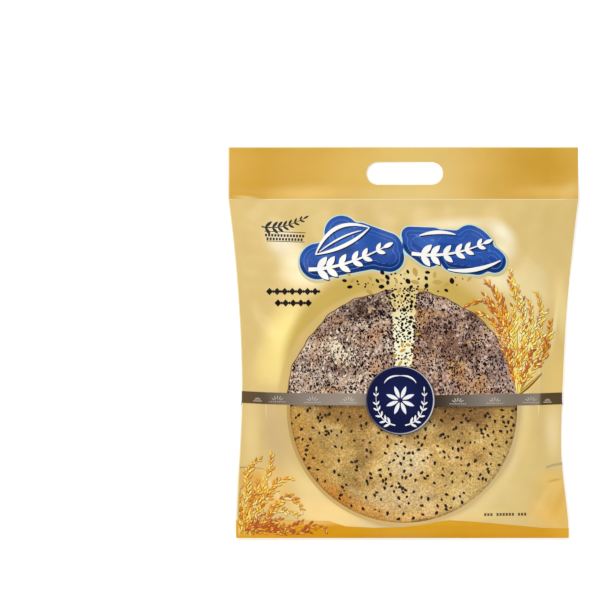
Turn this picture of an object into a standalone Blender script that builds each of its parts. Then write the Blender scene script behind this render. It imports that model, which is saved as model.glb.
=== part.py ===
"""Film carrier pack of sesame rice crackers, lying on its back.

Metres, +Z up. +Y runs towards the carrying slot and +Z out of the printed front. The origin is on the
surface that the pack lies on, under the middle of its outline. The film is drawn thicker than the real
0.1 mm, so that it is a solid.
"""

import math
import random

import bmesh
import bpy
from mathutils import Vector

# The film: its outline, read from the top edge down
PACK_HEIGHT = 0.3922
HEADER_WIDTH = 0.3508
HEADER_HEIGHT = 0.0525
LEFT_WAIST_Y = -0.050
LEFT_WAIST_PULL = 0.0136
LEFT_FOOT_PULL = 0.0078
RIGHT_WAIST_Y = -0.106
RIGHT_WAIST_PULL = 0.0170
RIGHT_FOOT_PULL = 0.0095

# The film: how high it lies
WALL = 0.0008
SEAM = 0.0012
EDGE_Z = 0.0045
TOP_Z = 0.0011
BULGE_Z = 0.0230
BULGE_CROWN = 0.0014
BULGE_RADIUS = 0.134
FLAT_MARGIN = 0.030
SEAL = 0.005
FILM_COLUMNS = 14
FILM_ROWS = 15

# Carrying slot
SLOT_WIDTH = 0.0773
SLOT_HEIGHT = 0.0230
SLOT_X = 0.0015
SLOT_Y = 0.1695

# Clear windows in the film
FRONT_WINDOW_Y = -0.067
FRONT_WINDOW_RADIUS = 0.115
RIBBON_LOWER_Y = -0.064
ROUNDEL_X = -0.0035
ROUNDEL_Y = -0.0575
ROUNDEL_RADIUS = 0.0337
BACK_WINDOW_RADIUS = 0.137
BAND_Y = -0.123
ARCH_Y = -0.126
ARCH_RADIUS = 0.0386
GAP = 0.0003

# Levels that the hidden cutters reach down and up to
SLOT_CUT = (-0.010, 0.020)
FRONT_CUT = (BULGE_Z / 2, 0.050)
BACK_CUT = (-0.010, 0.0060)

# Tray and crackers, which share one centre line
TRAY_Y = -0.050
TRAY_RADIUS = 0.131
TRAY_BASE_RADIUS = 0.109
TRAY_HEIGHT = 0.0105
TRAY_SHEET = 0.0008
TRAY_LIP = 0.002
TRAY_FLUTES = 36
FLUTE_DEPTH = 0.0006
BOSS_RADIUS = 0.0375
BOSS_STEP = 0.0015
BOSS_DEPTH = 0.0006

FRONT_CRACKER_Y = -0.0605
FRONT_CRACKER_RADIUS = 0.119
FRONT_CRACKER_Z = 0.0183
FRONT_CRACKER_DISH = 0.0
BACK_CRACKER_Y = -0.050
BACK_CRACKER_RADIUS = 0.123
BACK_CRACKER_Z = 0.0072
BACK_CRACKER_DISH = 0.0060
CRACKER_SHEET = 0.0022
CRACKER_RINGS = (0.12, 0.26, 0.40, 0.54, 0.67, 0.79, 0.90, 1.0)
CRACKER_SECTORS = 40
RAGGED = 0.010
WARP = 0.0010
BLISTER = 0.0006

SEED_LENGTH = 0.0036
SEED_WIDTH = 0.0021
SEED_HEIGHT = 0.0013
SEED_RISE = 0.0002
SEED_SHIFT = 0.0030
SEED_MARGIN = 0.006
FRONT_SEEDS = 118
BACK_SEEDS = 58

TOP = PACK_HEIGHT / 2
FOOT = -PACK_HEIGHT / 2
HEADER_LINE = TOP - HEADER_HEIGHT


def smooth(t):
    """0 to 1 with a level start and end."""
    t = min(max(t, 0.0), 1.0)
    return t * t * (3 - 2 * t)


def edge_pull(y, waist_y, waist_pull, foot_pull):
    """How far a side of the pack is drawn in at height y by what fills it."""
    if y >= HEADER_LINE:
        return 0.0
    if y >= waist_y:
        down = (HEADER_LINE - y) / (HEADER_LINE - waist_y)
        return waist_pull * (1 - (1 - down) ** 1.9)
    below = (waist_y - y) / (waist_y - FOOT)
    return waist_pull + (foot_pull - waist_pull) * smooth(below)


def left_edge(y):
    return -HEADER_WIDTH / 2 + edge_pull(y, LEFT_WAIST_Y, LEFT_WAIST_PULL, LEFT_FOOT_PULL)


def right_edge(y):
    return HEADER_WIDTH / 2 - edge_pull(y, RIGHT_WAIST_Y, RIGHT_WAIST_PULL, RIGHT_FOOT_PULL)


def edge_gap(x, y):
    """Distance to the nearest seam, rounded off where two seams are equally near."""
    gaps = (x - left_edge(y), right_edge(y) - x, y - FOOT, HEADER_LINE - y)
    if min(gaps) <= 1e-6:
        return 0.0
    return sum(gap**-5 for gap in gaps) ** (-1 / 5)


def header_middle(y):
    """Height of the middle of the two-layer header, which droops towards its top edge."""
    up = (y - HEADER_LINE) / HEADER_HEIGHT
    return EDGE_Z + (TOP_Z - EDGE_Z) * smooth(up)


def front_z(x, y):
    """Outside of the front film: level over the filling, then drawn straight to the seams."""
    if y >= HEADER_LINE:
        return header_middle(y) + SEAM / 2
    radius = math.hypot(x, y - TRAY_Y)
    beyond = max(0.0, radius - BULGE_RADIUS)
    share = beyond / (beyond + edge_gap(x, y) + 1e-9)
    crown = BULGE_CROWN * (1 - smooth(radius / BULGE_RADIUS))
    seam_z = EDGE_Z + SEAM / 2
    return seam_z + (BULGE_Z - seam_z) * (1 - share) + crown


def back_z(x, y):
    """Outside of the back film: flat on the surface, and lifted towards the seams."""
    if y >= HEADER_LINE:
        return header_middle(y) - SEAM / 2
    return (EDGE_Z - SEAM / 2) * (1 - smooth(edge_gap(x, y) / FLAT_MARGIN))


def crowded(count, share):
    """count + 1 values from -1 to 1, closer together near the ends by that share."""
    steps = [2 * i / count - 1 for i in range(count + 1)]
    return [(1 - share) * s + share * math.sin(math.pi / 2 * s) for s in steps]


def mixed(low, high, share):
    return low + (high - low) * share


def new_object(name, mesh, material=None):
    obj = bpy.data.objects.new(name, mesh)
    bpy.context.scene.collection.objects.link(obj)
    if material:
        mesh.materials.clear()
        mesh.materials.append(material)
    return obj


def finish_mesh(bm, name):
    """The mesh from bm, with its faces turned outwards."""
    bmesh.ops.recalc_face_normals(bm, faces=bm.faces)
    mesh = bpy.data.meshes.new(name)
    bm.to_mesh(mesh)
    bm.free()
    mesh.shade_smooth()
    mesh.set_sharp_from_angle(angle=math.radians(40))
    return mesh


def grid_solid(name, plan, top, bottom):
    """A closed solid over rows of plan points, between the heights top(x, y) and bottom(x, y)."""
    bm = bmesh.new()
    high = [[bm.verts.new((x, y, top(x, y))) for x, y in row] for row in plan]
    low = [[bm.verts.new((x, y, bottom(x, y))) for x, y in row] for row in plan]
    rows, columns = len(plan), len(plan[0])
    for i in range(rows - 1):
        for j in range(columns - 1):
            for grid in (high, low):
                bm.faces.new((grid[i][j], grid[i][j + 1], grid[i + 1][j + 1]))
                bm.faces.new((grid[i][j], grid[i + 1][j + 1], grid[i + 1][j]))
    rim = [(0, j) for j in range(columns)]
    rim += [(i, columns - 1) for i in range(1, rows)]
    rim += [(rows - 1, j) for j in range(columns - 2, -1, -1)]
    rim += [(i, 0) for i in range(rows - 2, 0, -1)]
    for (i, j), (k, m) in zip(rim, rim[1:] + rim[:1]):
        bm.faces.new((high[i][j], high[k][m], low[k][m], low[i][j]))
    return finish_mesh(bm, name)


def disc_solid(name, radii, sectors, outline, top, bottom):
    """A closed round solid. radii run from 0 to 1 and outline(angle) scales them to metres."""
    bm = bmesh.new()
    sides = []
    for height in (top, bottom):
        rings = [[bm.verts.new((0, 0, height(0, 0)))]]
        for share in radii:
            ring = []
            for k in range(sectors):
                angle = 2 * math.pi * k / sectors
                reach = share * outline(angle)
                x, y = reach * math.cos(angle), reach * math.sin(angle)
                ring.append(bm.verts.new((x, y, height(x, y))))
            rings.append(ring)
        sides.append(rings)
        for k in range(sectors):
            n = (k + 1) % sectors
            bm.faces.new((rings[0][0], rings[1][k], rings[1][n]))
            for inner, outer in zip(rings[1:], rings[2:]):
                bm.faces.new((inner[k], outer[k], outer[n], inner[n]))
    upper, lower = sides[0][-1], sides[1][-1]
    for k in range(sectors):
        n = (k + 1) % sectors
        bm.faces.new((upper[k], lower[k], lower[n], upper[n]))
    return finish_mesh(bm, name)


def prism(name, outline, low, high):
    """A hidden cutter: the outline's points drawn up from low to high."""
    bm = bmesh.new()
    face = bm.faces.new([bm.verts.new((x, y, low)) for x, y in outline])
    drawn = bmesh.ops.extrude_face_region(bm, geom=[face])
    moved = [v for v in drawn["geom"] if isinstance(v, bmesh.types.BMVert)]
    bmesh.ops.translate(bm, verts=moved, vec=(0, 0, high - low))
    cutter = new_object(name, finish_mesh(bm, name))
    cutter.hide_render = True
    cutter.display_type = "WIRE"
    return cutter


def cut(obj, cutter, operation="DIFFERENCE"):
    modifier = obj.modifiers.new(cutter.name, "BOOLEAN")
    modifier.operation = operation
    modifier.solver = "EXACT"
    modifier.object = cutter


def arc(centre, radius, start, end, steps):
    """Points of an arc from the angle start to end, in radians, with both ends."""
    angles = [mixed(start, end, i / steps) for i in range(steps + 1)]
    return [(centre[0] + radius * math.cos(a), centre[1] + radius * math.sin(a)) for a in angles]


def slot_outline():
    """The stadium of the carrying slot."""
    radius = SLOT_HEIGHT / 2
    reach = SLOT_WIDTH / 2 - radius
    right = arc((SLOT_X + reach, SLOT_Y), radius, -math.pi / 2, math.pi / 2, 10)
    left = arc((SLOT_X - reach, SLOT_Y), radius, math.pi / 2, 3 * math.pi / 2, 10)
    return right + left


def front_window_outline(inset):
    """The clear half disc under the ribbon, less the roundel that overlaps it."""
    radius = FRONT_WINDOW_RADIUS - inset
    line = RIBBON_LOWER_Y - inset
    bite = ROUNDEL_RADIUS + inset
    corner = math.asin((line - FRONT_WINDOW_Y) / radius)
    dip = math.asin((line - ROUNDEL_Y) / bite)
    around = arc((0, FRONT_WINDOW_Y), radius, corner, -math.pi - corner, 40)
    under = arc((ROUNDEL_X, ROUNDEL_Y), bite, math.pi - dip, 2 * math.pi + dip, 14)
    return around + under


def back_window_outline(inset):
    """The clear disc of the back, cut off by the band at its foot and by the arch on the band."""
    radius = BACK_WINDOW_RADIUS - inset
    line = BAND_Y + inset
    bite = ARCH_RADIUS + inset
    corner = math.asin((line - TRAY_Y) / radius)
    foot = math.asin((line - ARCH_Y) / bite)
    around = arc((0, TRAY_Y), radius, corner, math.pi - corner, 44)
    over = arc((0, ARCH_Y), bite, math.pi - foot, foot, 14)
    return around + over


def across(low, high, count):
    """Places from low to high: both ends, the inner line of the seam at each, and count steps between."""
    inner = [mixed(low + SEAL, high - SEAL, (s + 1) / 2) for s in crowded(count, 0.4)]
    return [low] + inner + [high]


def pack_plan():
    """Rows of points over the filled part of the pack, from seam to seam."""
    lines = sorted(across(FOOT, HEADER_LINE, FILM_ROWS) + [TRAY_Y - BULGE_RADIUS])
    return [[(x, y) for x in across(left_edge(y), right_edge(y), FILM_COLUMNS)] for y in lines]


def film_mesh():
    """The outside of the whole pack as one solid, header included."""
    plan = pack_plan()
    for step in (1 / 3, 2 / 3, 1.0):
        y = mixed(HEADER_LINE, TOP, step)
        plan.append([(x, y) for x, _ in plan[-1]])
    return grid_solid("film", plan, front_z, back_z)


def cavity_cutter():
    """The space inside the film, out to the seams."""
    mesh = grid_solid(
        "cavity",
        [row[1:-1] for row in pack_plan()[1:-1]],
        lambda x, y: front_z(x, y) - WALL,
        lambda x, y: back_z(x, y) + WALL,
    )
    cutter = new_object("cavity", mesh)
    cutter.hide_render = True
    cutter.display_type = "WIRE"
    return cutter


def build_film(printed, clear):
    """The printed pouch with its windows cut out, and the clear film that fills each window."""
    mesh = film_mesh()
    cavity = cavity_cutter()
    pouch = new_object("pouch", mesh, printed)
    cut(pouch, prism("slot_cutter", slot_outline(), *SLOT_CUT))
    cut(pouch, prism("front_opening", front_window_outline(0.0), *FRONT_CUT))
    cut(pouch, prism("back_opening", back_window_outline(0.0), *BACK_CUT))
    cut(pouch, cavity)
    panes = (
        ("front_window", front_window_outline(GAP), FRONT_CUT),
        ("back_window", back_window_outline(GAP), BACK_CUT),
    )
    for name, outline, span in panes:
        pane = new_object(name, mesh.copy(), clear)
        cut(pane, cavity)
        cut(pane, prism(name + "_keep", outline, *span), "INTERSECT")


def tray_surface(x, y):
    """Upper face of the tray: a level base with a sunk boss ring, and a fluted wall up to its rim."""
    radius = math.hypot(x, y)
    z = WALL + GAP + TRAY_SHEET
    if radius < BOSS_RADIUS:
        return z + BOSS_DEPTH
    up = (radius - TRAY_BASE_RADIUS) / (TRAY_RADIUS - TRAY_LIP - TRAY_BASE_RADIUS)
    if up <= 0:
        return z
    wave = math.cos(TRAY_FLUTES * math.atan2(y, x)) * FLUTE_DEPTH
    if up > 1:
        wave = 0.0
    return z + TRAY_HEIGHT * min(up, 1.0) + wave * math.sin(math.pi * min(up, 1.0))


def build_tray(clear):
    boss = (BOSS_RADIUS - BOSS_STEP / 2, BOSS_RADIUS + BOSS_STEP / 2)
    wall = (TRAY_BASE_RADIUS, (TRAY_BASE_RADIUS + TRAY_RADIUS) / 2, TRAY_RADIUS - TRAY_LIP, TRAY_RADIUS)
    mesh = disc_solid(
        "tray",
        [r / TRAY_RADIUS for r in boss + wall],
        2 * TRAY_FLUTES,
        lambda angle: TRAY_RADIUS,
        tray_surface,
        lambda x, y: tray_surface(x, y) - TRAY_SHEET,
    )
    tray = new_object("tray", mesh, clear)
    tray.location = (0, TRAY_Y, 0)


def ragged(radius, turn):
    """Outline of a cracker, a little out of round."""

    def reach(angle):
        wave = 0.5 * math.sin(3 * angle + turn) + 0.3 * math.sin(7 * angle + 2 * turn)
        return radius * (1 + RAGGED * (wave + 0.25 * math.sin(13 * angle - turn)))

    return reach


def warped(radius, dish, turn):
    """Height of a cracker's middle surface: its dish, the slow warp of the sheet and its blisters."""

    def height(x, y):
        outward = (x * x + y * y) / radius**2
        slow = math.sin(24 * x + 15 * y + turn) + 0.7 * math.sin(31 * y - 12 * x + 2 * turn)
        quick = math.sin(112 * x + turn) * math.sin(97 * y - 1.7 * turn)
        return dish * outward + WARP * slow * (1 - 0.5 * outward) + BLISTER * quick

    return height


def seed_spots(count, radius, seed):
    """Places for seeds, evenly spread over a disc by the golden angle, each moved a little."""
    draw = random.Random(seed)
    spots = []
    for i in range(count):
        reach = radius * math.sqrt((i + 0.5) / count)
        angle = i * math.pi * (3 - math.sqrt(5))
        x = reach * math.cos(angle) + draw.uniform(-SEED_SHIFT, SEED_SHIFT)
        y = reach * math.sin(angle) + draw.uniform(-SEED_SHIFT, SEED_SHIFT)
        spots.append((x, y, draw.uniform(0, math.pi), draw.uniform(0.85, 1.1)))
    return spots


def sow(cracker, spots, height):
    """Fuses a half-sunk seed to the cracker at each spot."""
    seeds = bpy.data.collections.new("seeds")
    bpy.context.scene.collection.children.link(seeds)
    for x, y, turn, size in spots:
        bm = bmesh.new()
        bmesh.ops.create_icosphere(bm, subdivisions=1, radius=0.5)
        bmesh.ops.scale(bm, verts=bm.verts, vec=Vector((SEED_LENGTH, SEED_WIDTH, SEED_HEIGHT)) * size)
        mesh = bpy.data.meshes.new("seed")
        bm.to_mesh(mesh)
        bm.free()
        seed = bpy.data.objects.new("seed", mesh)
        seed.location = (x, y + cracker.location.y, height(x, y))
        seed.rotation_euler = (0, 0, turn)
        seeds.objects.link(seed)
    join = cracker.modifiers.new("seeds", "BOOLEAN")
    join.operation = "UNION"
    join.solver = "MANIFOLD"
    join.operand_type = "COLLECTION"
    join.collection = seeds
    bpy.context.view_layer.update()
    graph = bpy.context.evaluated_depsgraph_get()
    joined = bpy.data.meshes.new_from_object(cracker.evaluated_get(graph))
    cracker.modifiers.clear()
    cracker.data = joined
    for seed in list(seeds.objects):
        bpy.data.objects.remove(seed)
    bpy.data.collections.remove(seeds)


def build_cracker(name, crust, centre_y, middle_z, radius, dish, turn, seed_count, side):
    """One warped cracker. side is 1 where its seeded face looks up, and -1 where it looks down."""
    surface = warped(radius, dish, turn)
    half = CRACKER_SHEET / 2
    mesh = disc_solid(
        name,
        CRACKER_RINGS,
        CRACKER_SECTORS,
        ragged(radius, turn),
        lambda x, y: middle_z + surface(x, y) + half,
        lambda x, y: middle_z + surface(x, y) - half,
    )
    cracker = new_object(name, mesh, crust)
    cracker.location = (0, centre_y, 0)
    face = middle_z + side * (half + SEED_RISE)
    spots = seed_spots(seed_count, radius - SEED_MARGIN, seed_count)
    sow(cracker, spots, lambda x, y: face + surface(x, y))
    cracker.data.materials.clear()
    cracker.data.materials.append(crust)


def new_material(name, colour, roughness, alpha=1.0):
    material = bpy.data.materials.new(name)
    material.use_nodes = True
    shader = material.node_tree.nodes["Principled BSDF"]
    shader.inputs["Base Color"].default_value = (*colour, 1)
    shader.inputs["Roughness"].default_value = roughness
    shader.inputs["Metallic"].default_value = 0.0
    shader.inputs["Alpha"].default_value = alpha
    return material


def main():
    for obj in list(bpy.data.objects):
        bpy.data.objects.remove(obj)
    printed = new_material("printed_film", (0.74, 0.56, 0.24), 0.38)
    clear = new_material("clear_film", (0.90, 0.90, 0.88), 0.12, 0.25)
    formed = new_material("clear_tray", (0.86, 0.88, 0.88), 0.15, 0.35)
    crust = new_material("toasted_crust", (0.62, 0.44, 0.20), 0.75)
    build_film(printed, clear)
    build_tray(formed)
    back = (BACK_CRACKER_Y, BACK_CRACKER_Z, BACK_CRACKER_RADIUS, BACK_CRACKER_DISH)
    build_cracker("cracker_back", crust, *back, turn=0.6, seed_count=BACK_SEEDS, side=-1)
    front = (FRONT_CRACKER_Y, FRONT_CRACKER_Z, FRONT_CRACKER_RADIUS, FRONT_CRACKER_DISH)
    build_cracker("cracker_front", crust, *front, turn=2.1, seed_count=FRONT_SEEDS, side=1)


main()
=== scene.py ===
"""Film carrier pack of sesame rice crackers, lying on its back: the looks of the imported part.

Shapes are worked out in millimetres and turned to metres where a mesh is made. +Y runs towards the
carrying slot and +Z out of the printed front.
"""

import math
import random

import bpy
import numpy as np
from bpy.props import FloatProperty, FloatVectorProperty, IntProperty, PointerProperty
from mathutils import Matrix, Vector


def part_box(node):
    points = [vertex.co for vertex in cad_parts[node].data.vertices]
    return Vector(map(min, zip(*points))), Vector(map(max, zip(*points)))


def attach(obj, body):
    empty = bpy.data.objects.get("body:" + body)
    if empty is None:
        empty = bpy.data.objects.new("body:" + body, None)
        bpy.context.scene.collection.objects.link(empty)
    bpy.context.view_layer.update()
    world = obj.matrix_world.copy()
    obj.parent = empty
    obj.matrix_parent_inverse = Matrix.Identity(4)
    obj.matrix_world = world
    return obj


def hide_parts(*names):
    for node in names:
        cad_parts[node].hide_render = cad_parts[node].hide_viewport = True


bl_info = {
    "name": "Sesame Cracker Pack",
    "version": (1, 0, 0),
    "blender": (4, 5, 0),
    "location": "3D View > Sidebar > Cracker Pack",
    "description": "Dresses the packed solids of a film pack of sesame rice crackers",
    "category": "Add Mesh",
}

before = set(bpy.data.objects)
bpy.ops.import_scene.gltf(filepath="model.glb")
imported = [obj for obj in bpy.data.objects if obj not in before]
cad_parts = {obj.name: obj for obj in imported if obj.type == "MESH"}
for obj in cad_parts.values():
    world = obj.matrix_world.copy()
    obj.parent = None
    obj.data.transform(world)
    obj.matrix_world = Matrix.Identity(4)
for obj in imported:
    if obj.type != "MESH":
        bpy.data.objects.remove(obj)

MM = 0.001

# How the film and the tray take the light, and the grey that a film's gloss lays over its print
FILM_GLOSS = 0.35
DEEP_GLOSS = 0.12
GLOSS_VEIL = 0.063
FILM_ROUGHNESS = 0.40
FILM_IOR = 1.49
TRAY_IOR = 1.57
SHARP_ANGLE = math.radians(40)


def span(node):
    """The lowest and highest corner of a solid, in millimetres."""
    low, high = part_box(node)
    return np.array(low) / MM, np.array(high) / MM


POUCH_LOW, POUCH_HIGH = span("pouch")
TRAY_LOW, TRAY_HIGH = span("tray")

# The pack's outline and how high it lies, as its solids have it
HALF_WIDTH = float(POUCH_HIGH[0])
TOP = float(POUCH_HIGH[1])
FOOT = float(POUCH_LOW[1])
HEADER_HEIGHT = 52.5
HEADER_LINE = TOP - HEADER_HEIGHT
LEFT_WAIST = (-50.0, 13.6, 7.8)
RIGHT_WAIST = (-106.0, 17.0, 9.5)
EDGE_Z = 4.5
TOP_Z = 1.1
BULGE_Z = 23.0
BULGE_CROWN = 1.4
BULGE_RADIUS = 134.0
FLAT_MARGIN = 30.0
BACK_ROOM = 0.3

# Openings and windows
SLOT = (1.5, 169.5, 77.3, 23.0)
FRONT_WINDOW = (0.0, -67.0, 115.0)
RIM_HOLE = (0.0, -66.6, 113.3)
ROUNDEL = (-3.5, -57.5, 33.7)
BACK_WINDOW = (0.0, -50.0, 137.0)
BAND_Y = -123.0
ARCH = (0.0, -126.0, 38.6)

# How far apart the points of each film lie
FRONT_STEP = 2.05
BACK_STEP = 3.0

# Print: middle of the half disc, the number of its small seeds, and the inks of the rice stems
DISC_X, DISC_Y = -1.5, -62.0
CRUMB_SEEDS = 1750
STEM_INKS = (2, 3, 1)

# How far each layer of print lies proud of its film, in millimetres
LIFTS = {
    "badge_shadow": 0.05,
    "printed_back_band": 0.05,
    "printed_disc_edge": 0.05,
    "painted_edge_highlights": 0.05,
    "window_rim": 0.08,
    "printed_back_rail": 0.10,
    "printed_back_ribbon_ends": 0.10,
    "printed_disc": 0.10,
    "printed_foot_band": 0.10,
    "printed_gap": 0.10,
    "printed_side_lines": 0.10,
    "printed_small_marks": 0.10,
    "badge_rim": 0.11,
    "printed_label": 0.12,
    "printed_arch": 0.14,
    "printed_corner_sprig": 0.14,
    "printed_disc_seeds": 0.14,
    "printed_ears_left": 0.14,
    "printed_ears_right": 0.14,
    "badge": 0.16,
    "printed_falling_seeds": 0.16,
    "printed_marks": 0.16,
    "badge_shade": 0.18,
    "badge_lines": 0.20,
    "printed_back_marks": 0.20,
    "printed_label_marks": 0.20,
    "printed_ribbon": 0.20,
    "badge_sprig_shadow": 0.22,
    "printed_ribbon_motifs": 0.26,
    "roundel_shadow": 0.26,
    "badge_sprigs": 0.30,
    "roundel_rim": 0.32,
    "roundel": 0.38,
    "roundel_sprigs": 0.44,
}

# Tray
TRAY_Y = float(TRAY_LOW[1] + TRAY_HIGH[1]) / 2
TRAY_RADIUS = float(TRAY_HIGH[0])
TRAY_FOOT = float(TRAY_LOW[2])
TRAY_BASE = 109.0
TRAY_RIBS = 260
TRAY_RISE = 10.5
TRAY_BOSS = 37.5

# Each cracker: centre y, height of its middle, radius, dish and turn of its unevenness
FRONT_CRACKER = (-61.6, 18.3, 119.2, 0.0, 0.1)
BACK_CRACKER = (-50.0, 7.2, 123.0, 6.0, 0.6)

# Stage: half the floor's width in millimetres, and where the camera hangs in metres
FLOOR_REACH = 4000
CAMERA_OVER = (-0.1035, 0.0425)
CAMERA_FROM_Z = 0.015


def rgb(code):
    """Linear colour of an sRGB hex value."""
    parts = [int(code[i : i + 2], 16) / 255 for i in (0, 2, 4)]
    return tuple(p / 12.92 if p <= 0.04045 else ((p + 0.055) / 1.055) ** 2.4 for p in parts)


def size_prop(name, description, metres):
    return FloatProperty(name=name, description=description, default=metres, min=0, unit="LENGTH")


def colour_prop(name, description, code):
    return FloatVectorProperty(
        name=name, description=description, default=rgb(code), size=3, min=0, max=1, subtype="COLOR"
    )


class PackSizes(bpy.types.PropertyGroup):
    """Sizes of the film and its print."""

    film: size_prop("Film", "Thickness of one film sheet", 0.00015)
    fold: size_prop("Fold height", "Height of the slack folds round the tray", 0.0014)
    ripple: size_prop("Ripple", "Height of the film's fine unevenness", 0.00016)
    ribbon: size_prop("Ribbon", "Width of the printed ribbon", 0.0118)
    disc: size_prop("Printed disc", "Radius of the printed half disc", 0.1145)
    grain: size_prop("Printed grain", "Length of a grain on the printed rice ears", 0.0054)


class PrintColours(bpy.types.PropertyGroup):
    """Main colours of the print."""

    field: colour_prop("Field", "Beige of the body of the pack", "dfc380")
    header: colour_prop("Header", "Deep gold at the ends of the header", "d1a13b")
    band: colour_prop("Foot band", "Gold of the band at the foot", "dda010")
    ribbon: colour_prop("Ribbon", "Taupe of the ribbon", "8f8277")
    roundel: colour_prop("Roundel", "Navy of the roundel", "171b40")
    badge: colour_prop("Badge", "Blue of the badge", "2f57aa")


class CrackerSettings(bpy.types.PropertyGroup):
    """Sizes and colours of the crackers and their seeds."""

    sheet: size_prop("Sheet", "Thickness of a cracker", 0.0022)
    seed_length: size_prop("Seed length", "Length of a sesame seed", 0.0039)
    seed_width: size_prop("Seed width", "Width of a sesame seed", 0.0025)
    seed_height: size_prop("Seed height", "Thickness of a sesame seed", 0.0011)
    seeds: IntProperty(name="Seeds", description="Black seeds on each cracker", default=450, min=0)
    sunk: IntProperty(name="Sunk seeds", description="Half baked-in seeds on each", default=110, min=0)
    crust: colour_prop("Crust", "Pale gold of the toasted crust", "c39c57")
    seed: colour_prop("Seed", "Black of the sesame seeds", "241b19")


class StageSettings(bpy.types.PropertyGroup):
    """Light and camera."""

    sky: FloatProperty(name="Sky", description="Strength of the even light all round", default=0.60)
    key: FloatProperty(name="Key light", description="Power of the large light", default=18.0, unit="POWER")
    fill: FloatProperty(name="Fill light", description="Power of the small light", default=11.0, unit="POWER")
    distance: size_prop("Camera distance", "Height of the camera over the pack", 4.0)
    lens: FloatProperty(name="Lens", description="Focal length in millimetres", default=240.0)


def smooth(t):
    """0 to 1 with a level start and end."""
    t = np.clip(t, 0.0, 1.0)
    return t * t * (3 - 2 * t)


def edge_pull(y, waist):
    """How far a side of the pack is drawn in at height y by what fills it."""
    waist_y, waist_pull, foot_pull = waist
    above = np.clip((HEADER_LINE - y) / (HEADER_LINE - waist_y), 0, 1)
    below = (waist_y - y) / (waist_y - FOOT)
    drawn = waist_pull * (1 - (1 - above) ** 1.9)
    return np.where(y >= waist_y, drawn, waist_pull + (foot_pull - waist_pull) * smooth(below))


def left_edge(y):
    return -HALF_WIDTH + edge_pull(y, LEFT_WAIST)


def right_edge(y):
    return HALF_WIDTH - edge_pull(y, RIGHT_WAIST)


def edge_gap(x, y):
    """Distance to the nearest seam, rounded off where two seams are equally near."""
    gaps = np.stack([x - left_edge(y), right_edge(y) - x, y - FOOT, HEADER_LINE - y])
    nearest = np.min(gaps, axis=0)
    rounded = np.sum(np.maximum(gaps, 1e-3) ** -5.0, axis=0) ** (-1 / 5)
    return np.where(nearest <= 1e-3, 0.0, rounded)


def waves(x, y, seed, shortest, longest, count=9):
    """Unevenness between about -1 and 1, from plane waves of those lengths in all directions."""
    draw = random.Random(seed)
    total = 0.0
    for _ in range(count):
        length = draw.uniform(shortest, longest)
        turn = draw.uniform(0, math.pi)
        start = draw.uniform(0, 2 * math.pi)
        total = total + np.sin((x * math.cos(turn) + y * math.sin(turn)) * 2 * math.pi / length + start)
    return total / math.sqrt(count)


# Soft creases in the slack film: start, end, half-width and height, in millimetres
CREASES = (
    (-150, 118, -96, 62, 7, 1.1),
    (-158, 126, -118, 104, 3, 0.5),
    (-166, 60, -137, 8, 6, 0.9),
    (-160, 20, -140, -28, 3, 0.5),
    (-136, -28, -137, -76, 2.4, 0.8),
    (-141, -66, -139, -120, 3, 0.7),
    (136, -22, 137, -74, 2.2, 0.8),
    (134, 66, 137, -8, 3.0, 0.6),
    (160, 66, 150, 0, 5, 0.9),
    (96, 132, 118, 86, 6, 0.9),
    (118, 92, 150, 62, 3, 0.6),
    (-160, -182, -112, -136, 8, 1.3),
    (-150, -128, -104, -168, 4, 0.8),
    (-88, -192, -60, -172, 6, 0.6),
    (64, -192, 40, -178, 6, 0.6),
    (158, -186, 112, -132, 9, 0.8),
    (137, -141, 159, -135, 2.4, 0.7),
    (137, -143, 124, -168, 3.0, 0.4),
    (150, -150, 138, -178, 3.2, 0.4),
    (162, -136, 132, -124, 5, 0.5),
    (120, -80, 108, -112, 4, 0.4),
    (150, 128, 126, 96, 8, 0.8),
    (-60, 140, -52, 118, 6, -0.5),
    (44, 140, 38, 116, 7, -0.5),
    (-163, -30, -150, -60, 4, 0.7),
)


def creases(x, y):
    """Height of the single soft creases."""
    total = 0.0
    for x0, y0, x1, y1, half, height in CREASES:
        reach = math.hypot(x1 - x0, y1 - y0)
        ux, uy = (x1 - x0) / reach, (y1 - y0) / reach
        along = ((x - x0) * ux + (y - y0) * uy) / reach
        aside = (x - x0) * uy - (y - y0) * ux
        taper = np.sin(np.pi * np.clip(along, 0, 1))
        total = total + height * taper * np.exp(-((aside / half) ** 2))
    return total


def flutter(x, y):
    """How the seams and the header wave up and down, both films together."""
    near = 1 - smooth(edge_gap(x, y) / 26)
    calm = 1 - 0.6 * smooth((y - HEADER_LINE) / HEADER_HEIGHT)
    return 1.1 * near * calm * waves(x, y, 41, 60, 140, 6)


def header_middle(y):
    """Height of the middle of the two-layer header, which droops towards its top edge."""
    return EDGE_Z + (TOP_Z - EDGE_Z) * smooth((y - HEADER_LINE) / HEADER_HEIGHT)


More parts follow.
